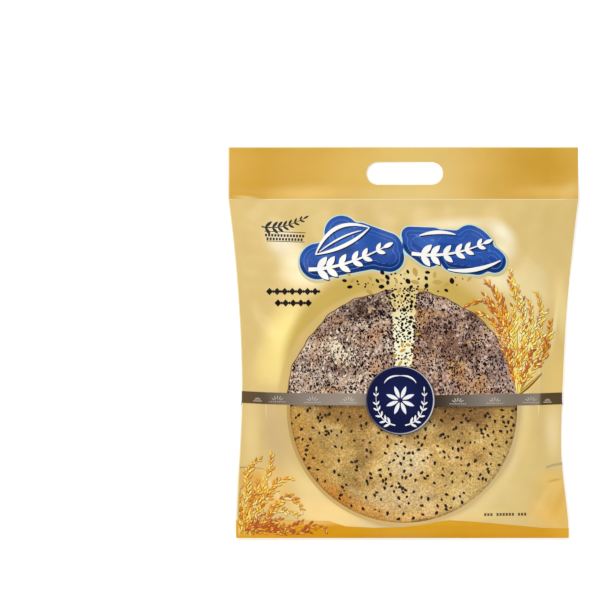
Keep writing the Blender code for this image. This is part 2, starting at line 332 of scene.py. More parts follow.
def front_height(x, y):
    """Outside of the front film: taut over the filling, slack and folded out to the seams."""
    sizes = bpy.context.scene.pack_sizes
    film = sizes.film / MM
    radius = np.hypot(x, y - TRAY_Y)
    turn = np.arctan2(y - TRAY_Y, x)
    gap = edge_gap(x, y)
    past = radius - BULGE_RADIUS
    beyond = (past + np.hypot(past, 5.0)) / 2
    share = beyond / (beyond + gap + 1e-6)
    crown = BULGE_CROWN * (1 - smooth(radius / BULGE_RADIUS))
    body = EDGE_Z + film + (BULGE_Z - EDGE_Z - film) * (1 - share) + crown
    slack = smooth(beyond / 16) * smooth(gap / 20)
    folds = 0.6 * np.cos(13 * turn + 0.8) + 0.5 * np.cos(22 * turn + 2.1) + 0.3 * np.cos(35 * turn - 1.0)
    body = body + sizes.fold / MM * (folds * slack + creases(x, y) * smooth(gap / 8))
    fine = waves(x, y, 5, 14, 46)
    body = body + sizes.ripple / MM * fine * (1 + 1.5 * slack) * smooth(gap / 6) + flutter(x, y)
    header = header_middle(y) + film + flutter(x, y)
    header = header + 0.35 * waves(x, y, 8, 40, 120) * smooth((y - HEADER_LINE) / 9)
    header = header + 0.8 * np.exp(-(((x + 155) / 16) ** 2) - ((y - HEADER_LINE - 5) / 4) ** 2)
    header = header + 0.8 * np.exp(-(((x - 168) / 12) ** 2) - ((y - HEADER_LINE - 9) / 6) ** 2)
    return np.where(y >= HEADER_LINE, np.maximum(header, film + BACK_ROOM + 0.2), body)


def back_height(x, y):
    """Outside of the back film: flat on what the pack lies on, and lifted towards the seams."""
    gap = edge_gap(x, y)
    film = bpy.context.scene.pack_sizes.film / MM
    body = BACK_ROOM + (EDGE_Z - film - BACK_ROOM) * (1 - smooth(gap / FLAT_MARGIN))
    body = body + 0.10 * (1 + waves(x, y, 21, 16, 50)) * smooth(gap / 12) + flutter(x, y)
    header = front_height(x, y) - 2 * film - 0.02
    return np.maximum(np.where(y >= HEADER_LINE, header, body), 0.05)


def circle(x, y, centre_x, centre_y, radius):
    """Distance to a circle, below zero inside it."""
    return np.hypot(x - centre_x, y - centre_y) - radius


def capsule(x, y, x0, y0, x1, y1, radius):
    """Distance to a thick line with round ends."""
    run = (x1 - x0) ** 2 + (y1 - y0) ** 2
    share = np.clip(((x - x0) * (x1 - x0) + (y - y0) * (y1 - y0)) / run, 0, 1)
    return np.hypot(x - x0 - share * (x1 - x0), y - y0 - share * (y1 - y0)) - radius


def melted(a, b, width):
    """Two distances joined, with a fillet about that wide."""
    share = np.clip(0.5 + 0.5 * (b - a) / width, 0, 1)
    return b + (a - b) * share - width * share * (1 - share)


def slot_field(x, y):
    centre_x, centre_y, wide, tall = SLOT
    reach = (wide - tall) / 2
    return capsule(x, y, centre_x - reach, centre_y, centre_x + reach, centre_y, tall / 2)


def ribbon_middle(x):
    """Height of the ribbon's middle line across the pack."""
    places = (-175, -137, -100, -40, 30, 75, 115, 175)
    return np.interp(x, places, (-54.2, -55.6, -56.5, -56.8, -58.3, -57.7, -56.9, -55.8))


def front_window_field(x, y):
    """The clear half disc under the ribbon, less the roundel that overlaps it."""
    line = ribbon_middle(x) - 4.4
    return np.maximum(np.maximum(circle(x, y, *FRONT_WINDOW), y - line), -circle(x, y, *ROUNDEL) - 1.0)


def back_window_field(x, y):
    """The clear disc of the back, cut off by the band at its foot and by the arch on the band."""
    return np.maximum(np.maximum(circle(x, y, *BACK_WINDOW), BAND_Y - y), -circle(x, y, *ARCH))


class Cutout:
    """Flat shapes in millimetres, gathered to be laid on a surface as one closed thin mesh."""

    def __init__(self):
        self.points = []
        self.lifts = []
        self.faces = []
        self.inks = []
        self.shapes = 0
        self.layer = 0.0

    def add_point(self, x, y, lift):
        self.points.append((float(x), float(y)))
        self.lifts.append(lift)
        return len(self.points) - 1

    def region(self, x, y, field, ink=0):
        """The part of a grid of points where field is below zero, with its edge drawn between them."""
        made = {}

        def corner(place):
            if place not in made:
                made[place] = self.add_point(x[place], y[place], 0.0)
            return made[place]

        def crossing(a, b):
            a, b = min(a, b), max(a, b)
            if (a, b) not in made:
                share = min(max(field[a] / (field[a] - field[b]), 0.03), 0.97)
                across = x[a] + (x[b] - x[a]) * share
                up = y[a] + (y[b] - y[a]) * share
                made[(a, b)] = self.add_point(across, up, 0.0)
            return made[(a, b)]

        inside = field < 0
        touched = inside[:-1, :-1] | inside[:-1, 1:] | inside[1:, 1:] | inside[1:, :-1]
        for i, j in zip(*np.nonzero(touched)):
            i, j = int(i), int(j)
            cell = ((i, j), (i, j + 1), (i + 1, j + 1), (i + 1, j))
            face = []
            for a, b in zip(cell, cell[1:] + cell[:1]):
                if inside[a]:
                    face.append(corner(a))
                if inside[a] != inside[b]:
                    face.append(crossing(a, b))
            self.faces.append(face)
            self.inks.append(ink)

    def patch(self, low, high, step, field, ink=0):
        """The part of a box where field(x, y) is below zero."""
        across = np.linspace(low[0], high[0], max(2, round((high[0] - low[0]) / step) + 1))
        up = np.linspace(low[1], high[1], max(2, round((high[1] - low[1]) / step) + 1))
        x, y = np.meshgrid(across, up)
        self.region(x, y, field(x, y), ink)

    def stroke(self, path, widths, ink=0):
        """A line along path with one width, or one at each point; a width of nothing gives a sharp end."""
        self.shapes += 1
        lift = self.layer + (self.shapes % 8) * 0.001
        path = np.array(path, float)
        run = np.gradient(path, axis=0)
        run /= np.maximum(np.hypot(run[:, 0], run[:, 1]), 1e-9)[:, None]
        rungs = []
        for (x, y), (dx, dy), width in zip(path, run, np.broadcast_to(widths, len(path))):
            if width < 1e-4:
                rungs.append([self.add_point(x, y, lift)] * 3)
            else:
                sides = (width / 2, 0.0, -width / 2)
                rungs.append([self.add_point(x + dy * s, y - dx * s, lift) for s in sides])
        for rung, following in zip(rungs, rungs[1:]):
            for k in (0, 1):
                face = list(dict.fromkeys((rung[k], following[k], following[k + 1], rung[k + 1])))
                if len(face) > 2:
                    self.faces.append(face)
                    self.inks.append(ink)

    def petal(self, x, y, length, width, turn, ink=0, blunt=0.75, steps=6):
        """A pointed leaf, grain or seed about (x, y). A blunt of 0.5 is round-ended, 1 sharp."""
        shares = np.linspace(0, 1, steps + 1)
        reach = (shares - 0.5) * length
        path = np.column_stack([x + reach * math.cos(turn), y + reach * math.sin(turn)])
        self.stroke(path, width * np.sin(np.pi * shares) ** blunt, ink)

    def bar(self, x0, y0, x1, y1, width, ink=0):
        """A straight bar with square ends, in steps short enough to follow the film."""
        steps = max(2, int(math.hypot(x1 - x0, y1 - y0) / 3) + 1)
        path = np.column_stack([np.linspace(x0, x1, steps), np.linspace(y0, y1, steps)])
        self.stroke(path, width, ink)

    def mesh(self, name, top, bottom, materials):
        """A closed mesh of all the shapes, between the heights top(x, y) and bottom(x, y)."""
        flat = np.array(self.points)
        lifts = np.array(self.lifts)
        upper, lower = top(flat[:, 0], flat[:, 1]), bottom(flat[:, 0], flat[:, 1])
        outward = np.where(upper + lower >= 0, lifts, 0.0)
        upper = upper + outward
        count = len(flat)
        points = np.vstack([np.column_stack([flat, upper]), np.column_stack([flat, lower])])
        edges = {}
        for face, ink in zip(self.faces, self.inks):
            for a, b in zip(face, face[1:] + face[:1]):
                edges[(a, b)] = ink
        walls = [(a, b) for a, b in edges if (b, a) not in edges]
        faces = [list(face) for face in self.faces]
        faces += [[i + count for i in reversed(face)] for face in self.faces]
        faces += [[a + count, b + count, b, a] for a, b in walls]
        inks = self.inks * 2 + [edges[wall] for wall in walls]
        return made_mesh(name, points, faces, inks, materials)


def made_mesh(name, points, faces, inks, materials):
    """A smooth mesh from points in millimetres, with sharp edges kept and a material index a face."""
    mesh = bpy.data.meshes.new(name)
    mesh.from_pydata((np.array(points) * MM).tolist(), [], faces)
    for material in materials:
        mesh.materials.append(material)
    mesh.polygons.foreach_set("material_index", inks)
    mesh.shade_smooth()
    mesh.set_sharp_from_angle(angle=SHARP_ANGLE)
    mesh.update()
    return mesh


def place(name, mesh, slot, *replaced):
    """A piece of the pack, which stands for the solids named."""
    piece = bpy.data.objects.new(name, mesh)
    bpy.context.scene.collection.objects.link(piece)
    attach(piece, "root")
    if replaced:
        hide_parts(*replaced)


def print_on_front(name, shapes, *inks):
    """Lays shapes on the front film."""
    mesh = shapes.mesh(name, lambda x, y: front_height(x, y) + LIFTS[name], front_height, inks)
    place(name, mesh, "printed_film")


def print_on_back(name, shapes, *inks):
    """Lays shapes on the back film."""
    low = min(shapes.lifts)
    mesh = shapes.mesh(name, back_height, lambda x, y: back_height(x, y) - LIFTS[name] - low, inks)
    place(name, mesh, "printed_film")


def colour_of(value):
    """A linear colour from a hex value or a colour property."""
    return rgb(value) if isinstance(value, str) else tuple(value)


def ink(value, gloss=FILM_GLOSS):
    """A printed colour, less the veil that a film of that gloss lays over it."""
    return tuple(max(0.0, part - GLOSS_VEIL * gloss) for part in colour_of(value))


class Look:
    """One material in the making: each method adds a node and gives back what comes out of it."""

    def __init__(self, name):
        self.material = bpy.data.materials.new(name)
        self.material.use_nodes = True
        self.tree = self.material.node_tree
        self.here = self.add("TexCoord", {}).outputs["Object"]

    def feed(self, node, sockets):
        """Sets sockets to values, or links them to what comes out of other nodes."""
        for socket, value in sockets.items():
            if isinstance(value, bpy.types.NodeSocket):
                self.tree.links.new(value, node.inputs[socket])
            else:
                node.inputs[socket].default_value = value

    def add(self, kind, sockets, **fields):
        node = self.tree.nodes.new("ShaderNode" + kind)
        for field, value in fields.items():
            setattr(node, field, value)
        self.feed(node, sockets)
        return node

    def noise(self, size, detail=2.0, **sockets):
        """Clouds about that many millimetres wide; W picks another pattern of them."""
        sockets = {"Vector": self.here, "Scale": 1 / (size * MM), "Detail": detail, **sockets}
        kind = "4D" if "W" in sockets else "3D"
        return self.add("TexNoise", sockets, noise_dimensions=kind).outputs["Fac"]

    def cells(self, size, vector=None, **fields):
        """The outputs of cells about that many millimetres wide."""
        sockets = {"Vector": vector or self.here, "Scale": 1 / (size * MM)}
        return self.add("TexVoronoi", sockets, **fields).outputs

    def parts(self, colour):
        """The red, green and blue of a colour."""
        return self.add("SeparateColor", {"Color": colour}).outputs

    def maths(self, operation, *values, **fields):
        return self.add("Math", dict(enumerate(values)), operation=operation, **fields).outputs["Value"]

    def ranged(self, value, low=0.0, high=1.0, least=0.0, most=1.0, kind="LINEAR"):
        """A value carried from between low and high to between least and most."""
        sockets = {"Value": value, "From Min": low, "From Max": high, "To Min": least, "To Max": most}
        return self.add("MapRange", sockets, interpolation_type=kind).outputs["Result"]

    def ramp(self, share, *stops):
        """A share turned to a colour between stops, each a place and a colour."""
        node = self.add("ValToRGB", {"Fac": share})
        elements = node.color_ramp.elements
        for k, (position, colour) in enumerate(stops):
            stop = elements[k] if k < 2 else elements.new(position)
            stop.position = position
            stop.color = (*colour, 1)
        return node.outputs["Color"]

    def over(self, colour, share, other):
        """A colour with that share of another laid over it."""
        sockets = {0: share, 6: colour, 7: (*other, 1)}
        return self.add("Mix", sockets, data_type="RGBA").outputs[2]

    def toned(self, colour, shade):
        """A colour times a shade."""
        sockets = {0: 1.0, 6: colour, 7: shade}
        return self.add("Mix", sockets, data_type="RGBA", blend_type="MULTIPLY").outputs[2]

    def bump(self, height, distance, strength, **sockets):
        """Relief that many millimetres deep."""
        sockets.update(Height=height, Distance=distance * MM, Strength=strength)
        return self.add("Bump", sockets).outputs["Normal"]

    def blotted(self, colour, blots, gloss=0.0, ragged=None):
        """Lays soft ovals of other colours over a colour; ragged is noise that frays their edges."""
        for x, y, half_wide, half_tall, turn, code, strength, fade in blots:
            sockets = {
                "Vector": self.here,
                "Location": (x * MM, y * MM, 0),
                "Rotation": (0, 0, math.radians(turn)),
                "Scale": (half_wide * MM, half_tall * MM, 1),
            }
            spot = self.add("Mapping", sockets, vector_type="TEXTURE").outputs["Vector"]
            glow = self.add("TexGradient", {"Vector": spot}, gradient_type="SPHERICAL").outputs["Fac"]
            if ragged is not None:
                glow = self.maths("MULTIPLY", glow, ragged)
            share = self.ranged(glow, high=fade, most=strength, kind="SMOOTHSTEP")
            colour = self.over(colour, share, ink(code, gloss))
        return colour

    def finish(self, sockets):
        """Feeds the shader, and gives the material."""
        self.feed(self.tree.nodes["Principled BSDF"], sockets)
        return self.material


def film_print(name, colours, blots=(), mottle=0.05, gloss=FILM_GLOSS):
    """Ink on the inner side of a clear stretched polypropylene film, printed by gravure.

    To the eye that is flat soft-edged colour under a satin gloss that is a little uneven. It has one
    colour, or a list of them across the pack at x in millimetres. Blots are soft ovals of another
    colour: x, y, half-width, half-height, turn in degrees, colour, strength, and the share that fades.
    """
    look = Look(name)
    across = look.add("SeparateXYZ", {"Vector": look.here}).outputs["X"]
    share = look.ranged(across, -HALF_WIDTH * MM, HALF_WIDTH * MM)
    colours = colours if isinstance(colours, list) else [(0, colours)] * 2
    stops = [((x / HALF_WIDTH + 1) / 2, ink(colour, gloss)) for x, colour in colours]
    colour = look.blotted(look.ramp(share, *stops), blots, gloss)
    cloud = look.noise(28, 3.0)
    sockets = {
        "Base Color": look.toned(colour, look.ranged(cloud, 0.3, 0.7, 1 - mottle)),
        "Roughness": look.ranged(cloud, least=FILM_ROUGHNESS - 0.07, most=FILM_ROUGHNESS + 0.07),
        "Normal": look.bump(look.noise(7), 0.12, 0.4),
        "IOR": FILM_IOR,
        "Specular IOR Level": gloss,
    }
    return look.finish(sockets)


def clear_film(name):
    """Clear stretched polypropylene film: all but invisible from above, glossy where seen aslant."""
    look = Look(name)
    cloud = look.noise(22)
    aslant = look.add("LayerWeight", {"Blend": 0.5}).outputs["Facing"]
    steep = look.maths("POWER", aslant, 4.0)
    veil = look.ranged(cloud, least=0.004, most=0.016)
    sockets = {
        "Base Color": (*rgb("a8a59c"), 1),
        "Alpha": look.maths("MULTIPLY_ADD", steep, 0.55, veil, use_clamp=True),
        "Normal": look.bump(cloud, 0.3, 0.5),
        "Roughness": 0.16,
        "IOR": FILM_IOR,
    }
    return look.finish(sockets)


def formed_sheet(name, least, most):
    """Clear PET sheet, vacuum formed: a grey-white veil with sharp small glints; a denser veil of it on the
    ribbed lines is a painted highlight.
    """
    look = Look(name)
    veil = look.ranged(look.noise(9), least=least, most=most)
    base = (*rgb("f2eee3"), 1)
    return look.finish({"Base Color": base, "Alpha": veil, "Roughness": 0.14, "IOR": TRAY_IOR})


def toasted_crust(name, browned):
    """Rice sheet, sun dried and toasted over embers: a matt, finely blistered crust.

    To the eye that is pale gold with olive shades, a sandy grain of 1 to 2 mm and browned patches; on the
    front cracker the browned blots also hold a painted shadow under the ribbon.
    """
    look = Look(name)
    crust = colour_of(bpy.context.scene.cracker_settings.crust)
    tones = ((0.34, rgb("ab8346")), (0.45, crust), (0.55, rgb("cfaa60")), (0.68, rgb("e3c585")))
    colour = look.ramp(look.noise(30, 5.0), *tones)
    patchy = look.noise(13, 5.0, W=3.0)
    for low, high, code, strength in ((0.54, 0.68, "9a783c", 0.7), (0.46, 0.32, "dcb980", 0.6)):
        share = look.ranged(patchy, low, high, most=strength, kind="SMOOTHSTEP")
        colour = look.over(colour, share, rgb(code))
    edge = look.cells(31, feature="DISTANCE_TO_EDGE")["Distance"]
    edge = look.maths("MULTIPLY_ADD", patchy, 0.22, edge)
    colour = look.over(colour, look.ranged(edge, 0.08, 0.20, 0.35, 0.0), rgb("e0c48a"))
    colour = look.blotted(colour, browned, ragged=patchy)
    grain = look.noise(1.5)
    colour = look.toned(colour, look.ranged(grain, 0.36, 0.64, 0.82, 1.19))
    own = look.parts(look.cells(1.35)["Color"])
    colour = look.toned(colour, look.ranged(own["Red"], least=0.76, most=1.34))
    for size, reach, code, strength in ((3.2, 0.20, "6b4a22", 0.6), (2.6, 0.24, "ecd49a", 0.28)):
        share = look.ranged(look.cells(size)["Distance"], reach / 2, reach, strength, 0.0)
        colour = look.over(colour, share, rgb(code))
    blistered = look.bump(patchy, 1.2, 0.5, Normal=look.bump(grain, 0.4, 0.6))
    sockets = {"Base Color": colour, "Normal": blistered, "Roughness": 0.72, "Specular IOR Level": 0.15}
    return look.finish(sockets)


def sesame(name, code, second):
    """Hulled-on sesame seed: a dry, faintly ribbed skin with a low sheen."""
    look = Look(name)
    colour = look.ramp(look.noise(5), (0.35, ink(code)), (0.7, ink(second)))
    skin = look.bump(look.noise(0.6), 0.1, 0.5)
    return look.finish({"Base Color": colour, "Normal": skin, "Roughness": 0.5, "Specular IOR Level": 0.18})


def printed_crumb(name, dark, middle, pale, warm, blots):
    """The same film ink, printed as a coarse seeded crumb: pale grains of 2 to 4 mm, dark specks between."""
    look = Look(name)
    broad = look.noise(17, 4.0, Roughness=0.6)
    grains = look.cells(2.7)
    own = look.parts(grains["Color"])
    tone = look.maths("MULTIPLY_ADD", own["Green"], 0.30, broad)
    stops = ((0.44, dark), (0.62, middle), (0.84, pale))
    colour = look.ramp(tone, *((spot, ink(code, DEEP_GLOSS)) for spot, code in stops))
    glow = look.ranged(look.noise(21, 4.0, W=7.0), 0.49, 0.62, most=0.75)
    colour = look.over(colour, glow, ink(warm, DEEP_GLOSS))
    colour = look.blotted(colour, blots, DEEP_GLOSS, own["Blue"])
    colour = look.toned(colour, look.ranged(grains["Distance"], 0.2, 0.7, 1.18, 0.68))
    crowded = look.ranged(broad, 0.35, 0.62, 0.05, 0.5)
    for size, turn, stretch in ((1.6, 0.7, 0.7), (2.1, 2.2, 0.66)):
        sockets = {"Vector": look.here, "Rotation": (0, 0, turn), "Scale": (1, stretch, 1)}
        specks = look.cells(size, look.add("Mapping", sockets).outputs["Vector"])
        kept = look.ranged(look.parts(specks["Color"])["Red"], crowded, most=0.54)
        near = look.maths("SUBTRACT", kept, specks["Distance"])
        black = look.ranged(near, -0.01, 0.02, most=0.97)
        colour = look.over(colour, black, ink("20151a", DEEP_GLOSS))
    sockets = {"Base Color": colour, "Roughness": 0.42, "IOR": FILM_IOR, "Specular IOR Level": DEEP_GLOSS}
    return look.finish(sockets)


def studio_floor(name):
    """White laminate board under the pack: matt, with the faintest tooth."""
    look = Look(name)
    colour = look.ramp(look.noise(25), (0.3, (0.94, 0.94, 0.94)), (0.7, (0.97, 0.97, 0.97)))
    sockets = {"Base Color": colour, "Emission Color": colour, "Emission Strength": 0.25, "Roughness": 0.8}
    return look.finish(sockets)


def film_grid(step):
    """Points over the whole pack in rows from seam to seam, with a row on the header's line."""
    body = np.linspace(FOOT, HEADER_LINE, round((HEADER_LINE - FOOT) / step) + 1)
    header = np.linspace(HEADER_LINE, TOP, round(HEADER_HEIGHT / step) + 1)[1:]
    rows = np.concatenate([body, header])
    shares = np.linspace(0, 1, round(2 * HALF_WIDTH / step) + 1)
    y = np.repeat(rows[:, None], len(shares), axis=1)
    left, right = left_edge(y), right_edge(y)
    return left + (right - left) * shares, y


def film_side(side, step, window_field, top, bottom, inks, clear):
    """One side of the pack: its printed sheet, open at the slot and the window, and its clear pane."""
    x, y = film_grid(step)
    window = window_field(x, y)
    sheet, pane = Cutout(), Cutout()
    sheet.region(x, y, np.maximum(-slot_field(x, y), -window))
    for k, face in enumerate(sheet.faces):
        if sum(sheet.points[i][1] for i in face) / len(face) > HEADER_LINE:
            sheet.inks[k] = 1
    name = side + "_film"
    place(name, sheet.mesh(name, top, bottom, inks), "printed_film", "pouch")
    pane.region(x, y, window)
    name = side + "_clear_film"
    place(name, pane.mesh(name, top, bottom, [clear]), "clear_film", side + "_window")


# Soft fields of colour on the front: the print's own glows and shades, and painted highlights and shade along
# the film's creases. Columns: x, y, half-width, half-height, turn, colour, strength, fade
FRONT_BLOTS = (
    (1.5, -69, 128, 128, 0, "e9d19a", 0.85, 0.06),
    (0, -67, 121.5, 121.5, 0, "d2b47a", 0.9, 0.04),
    (-119, 2, 30, 58, -15, "ffe894", 1.0, 0.75),
    (-136, -26, 26, 34, 0, "f6dc8e", 0.8, 1.0),
    (-9, -24, 118, 108, 0, "cbad58", 0.95, 0.12),
    (-8, -63, 121, 121, 0, "d9bb78", 0.85, 0.04),
    # painted highlight along the crease from under the corner sprig down to the badge's lower left
    (-120, 100, 34, 22, -52, "f2e5c4", 1.0, 0.9),
    (-112, 66, 26, 22, -40, "f3dca4", 0.8, 1.0),
    (-101, 73, 34, 24, -44, "fff0c4", 1.0, 0.8),
    (30, 126, 90, 14, 2, "ecd496", 0.4, 1.0),
    (52, 118, 56, 11, 3, "faeac0", 1.0, 1.0),
    # painted highlight along the crease right of the badge
    (98, 110, 24, 14, -38, "faf1d2", 1.0, 1.0),
    (98, 92, 24, 22, 15, "f8edc6", 1.0, 1.0),
    (96, 62, 34, 20, -14, "f7ebc2", 1.0, 1.0),
    (126, 52, 28, 40, 6, "f3e4b0", 1.0, 1.0),
    (118, 0, 26, 58, 0, "fbe99c", 1.0, 0.8),
    (103, -4, 12, 40, 30, "efe0b0", 0.8, 1.0),
    # painted highlight and painted shade on the two sides of the crease on the right side
    (152, 20, 3.2, 44, -8, "f6e6b0", 0.8, 1.0),
    (160, 12, 8, 50, -8, "d7ba6e", 0.7, 1.0),
    (2, 69, 80, 18, 0, "e0c67c", 0.6, 1.0),
    (4, 66, 42, 22, 0, "ead498", 1.0, 0.9),
    (126, 58, 40, 44, 20, "eed69a", 0.6, 1.0),
    # painted highlight along the same right-side crease
    (159, 34, 12, 44, 4, "f5dd9a", 0.9, 0.9),
    (153, -40, 22, 60, 0, "ebca78", 0.8, 1.0),
    (-128, -88, 22, 60, 8, "d4b683", 0.9, 0.9),
    (-152, -90, 14, 60, 0, "eed496", 0.7, 1.0),
    (-92, -150, 46, 24, -48, "f3d592", 1.0, 0.9),
    (-76, -172, 56, 20, -14, "fddc96", 1.0, 0.7),
    (-136, -150, 34, 36, 0, "f1c676", 1.0, 0.8),
    (-152, -138, 22, 18, 0, "e3a94c", 0.8, 0.8),
    (90, -150, 50, 26, 38, "e8ce8a", 0.8, 1.0),
    (66, -174, 50, 10, 8, "efd187", 0.8, 1.0),
    # painted highlight along the crease by the window's right edge
    (120, -96, 16, 50, 0, "e6cb86", 0.7, 1.0),
    (152, -170, 40, 40, 20, "ebbf65", 1.0, 0.9),
    (150, -140, 24, 18, 0, "ecc56c", 0.9, 1.0),
    # painted highlight, painted shade and a painted dark line along the creases in the lower right corner
    (140, -156, 30, 6, 60, "f0d088", 0.4, 1.0),
    (156, -160, 28, 7, 68, "dfae50", 0.5, 1.0),
    (151, -138, 12, 2.4, 12, "cb9c50", 0.7, 1.0),
    # painted highlight along the crease in the lower left corner
    (-128, -150, 34, 4, -56, "f7e2a8", 0.7, 1.0),
    (150, -88, 14, 40, 0, "f3dca4", 0.9, 1.0),
    (-60, 144, 120, 12, 0, "dcc587", 0.5, 1.0),
    (150, 128, 60, 26, 0, "d9bf78", 0.7, 1.0),
)
# Soft fields of colour on the header, with painted highlights on the folds at its two ends
HEADER_BLOTS = (
    # painted highlight on the fold at the header's lower left end
    (-157, 145, 20, 3.4, -6, "f3d99c", 0.6, 1.0),
    (-158, 172, 30, 26, 0, "d2a23c", 0.6, 1.0),
    (-96, 149, 70, 13, 2, "ecc472", 0.9, 1.0),
    (150, 150, 60, 12, 0, "e4ba62", 0.8, 1.0),
    # painted highlight on the fold at the header's right end
    (168, 152, 20, 12, 30, "e8c276", 0.9, 1.0),
    (0, 148, 90, 14, 0, "e6cb86", 0.7, 1.0),
    (146, 176, 40, 22, 0, "cc9c36", 0.7, 1.0),
)


class CRACKER_PACK_OT_front_film(bpy.types.Operator):
    """Makes the printed front film with its carrying slot and window"""

    bl_idname = "cracker_pack.front_film"
    bl_label = "Front film"

    def execute(self, context):
        film = context.scene.pack_sizes.film / MM
        colours = context.scene.print_colours
        gold = [
            (-166, "d8a944"),
            (-140, colours.header),
            (-84, "d8ad4e"),
            (-40, "deb85f"),
            (0, "e2c270"),
            (40, "e2c072"),
            (78, "dcb35a"),
            (112, "d3a545"),
            (145, "cf9f3a"),
            (170, "d8ab4a"),
        ]
        inks = [
            film_print("printed field", colours.field, FRONT_BLOTS),
            film_print("printed header", gold, HEADER_BLOTS),
        ]

        def inner(x, y):
            return front_height(x, y) - film

        clear = clear_film("clear film")
        film_side("front", FRONT_STEP, front_window_field, front_height, inner, inks, clear)
        rim = Cutout()

        def rim_band(x, y):
            outer = circle(x, y, FRONT_WINDOW[0], FRONT_WINDOW[1], FRONT_WINDOW[2] + 1.6)
            hole = circle(x, y, *RIM_HOLE)
            return np.maximum(np.maximum(outer, -hole), y - ribbon_middle(x))

        rim.patch((-118, -185), (118, -58), 1.2, rim_band)
        tones = [(-115, "bd9c5c"), (-70, "cfae6e"), (0, "d8b676"), (60, "d4b97f"), (115, "cdb685")]
        print_on_front("window_rim", rim, film_print("window rim film", tones))
        # Painted highlights: a pale line along the left and top cut edges and on the crease of the header's
        # seam, and glints on short creases by the ribbon's ends
        edge = Cutout()
        rows = np.linspace(FOOT, TOP, 160)
        edge.stroke(np.column_stack([left_edge(rows) + 0.5, rows]), 1.0)
        across = np.linspace(-HALF_WIDTH, HALF_WIDTH, 150)
        for level, width in ((TOP - 0.45, 0.9), (HEADER_LINE - 0.2, 0.7)):
            edge.stroke(np.column_stack([across, across * 0 + level]), width)
        for path in (
            curve((135.6, -48), (134.6, -60), (134.9, -74), 14),
            curve((-137.2, -46), (-137.8, -60), (-137.0, -76), 14),
            curve((134.4, -10), (135.6, -24), (135.2, -42), 14),
            curve((-163.5, -52), (-150, -50), (-139, -51.5), 12),
        ):
            edge.stroke(path, 0.9 * np.sin(np.linspace(0.15, 3.0, len(path))))
        print_on_front("painted_edge_highlights", edge, film_print("painted edge highlight", "f0dfb2"))
        return {"FINISHED"}


BACK_BLOTS = (
    (0, 110, 150, 30, 0, "e9d8b4", 0.6, 1.0),
    (-140, 20, 26, 90, 0, "e9d6ae", 0.6, 1.0),
    (140, -10, 26, 90, 0, "dcc795", 0.6, 1.0),
)


class CRACKER_PACK_OT_back_film(bpy.types.Operator):
    """Makes the printed back film with its slot and its clear window"""

    bl_idname = "cracker_pack.back_film"
    bl_label = "Back film"

    def execute(self, context):
        film = context.scene.pack_sizes.film / MM
        header = context.scene.print_colours.header
        gold = [(-160, "d9ad4a"), (-60, "d2a134"), (60, "d2a134"), (160, header)]
        field_ink = film_print("printed back field", "e1d0a8", BACK_BLOTS)
        inks = [field_ink, film_print("printed back header", gold)]

        def inner(x, y):
            return back_height(x, y) + film

        clear = clear_film("clear back film")
        film_side("back", BACK_STEP, back_window_field, inner, back_height, inks, clear)
        return {"FINISHED"}


def tray_level(radius, turn):
    """Upper face of the tray: a level base with a boss ring, and a finely ribbed wall up to its lip."""
    up = np.clip((radius - TRAY_BASE) / (TRAY_RADIUS - 2 - TRAY_BASE), 0, 1)
    ribs = 0.45 * np.cos(TRAY_RIBS * turn) * smooth(up / 0.08) * smooth((1 - up) / 0.08)
    boss = 0.6 * (1 - smooth((radius - TRAY_BOSS + 0.7) / 1.4))
    rim = 0.35 * np.exp(-(((radius - TRAY_BASE + 1.5) / 0.8) ** 2))
    return TRAY_FOOT + 0.5 + TRAY_RISE * up + ribs + boss + rim


def ring_of(radius, turns):
    """Points round the tray's middle."""
    return [(radius * math.cos(turn), TRAY_Y + radius * math.sin(turn)) for turn in turns]


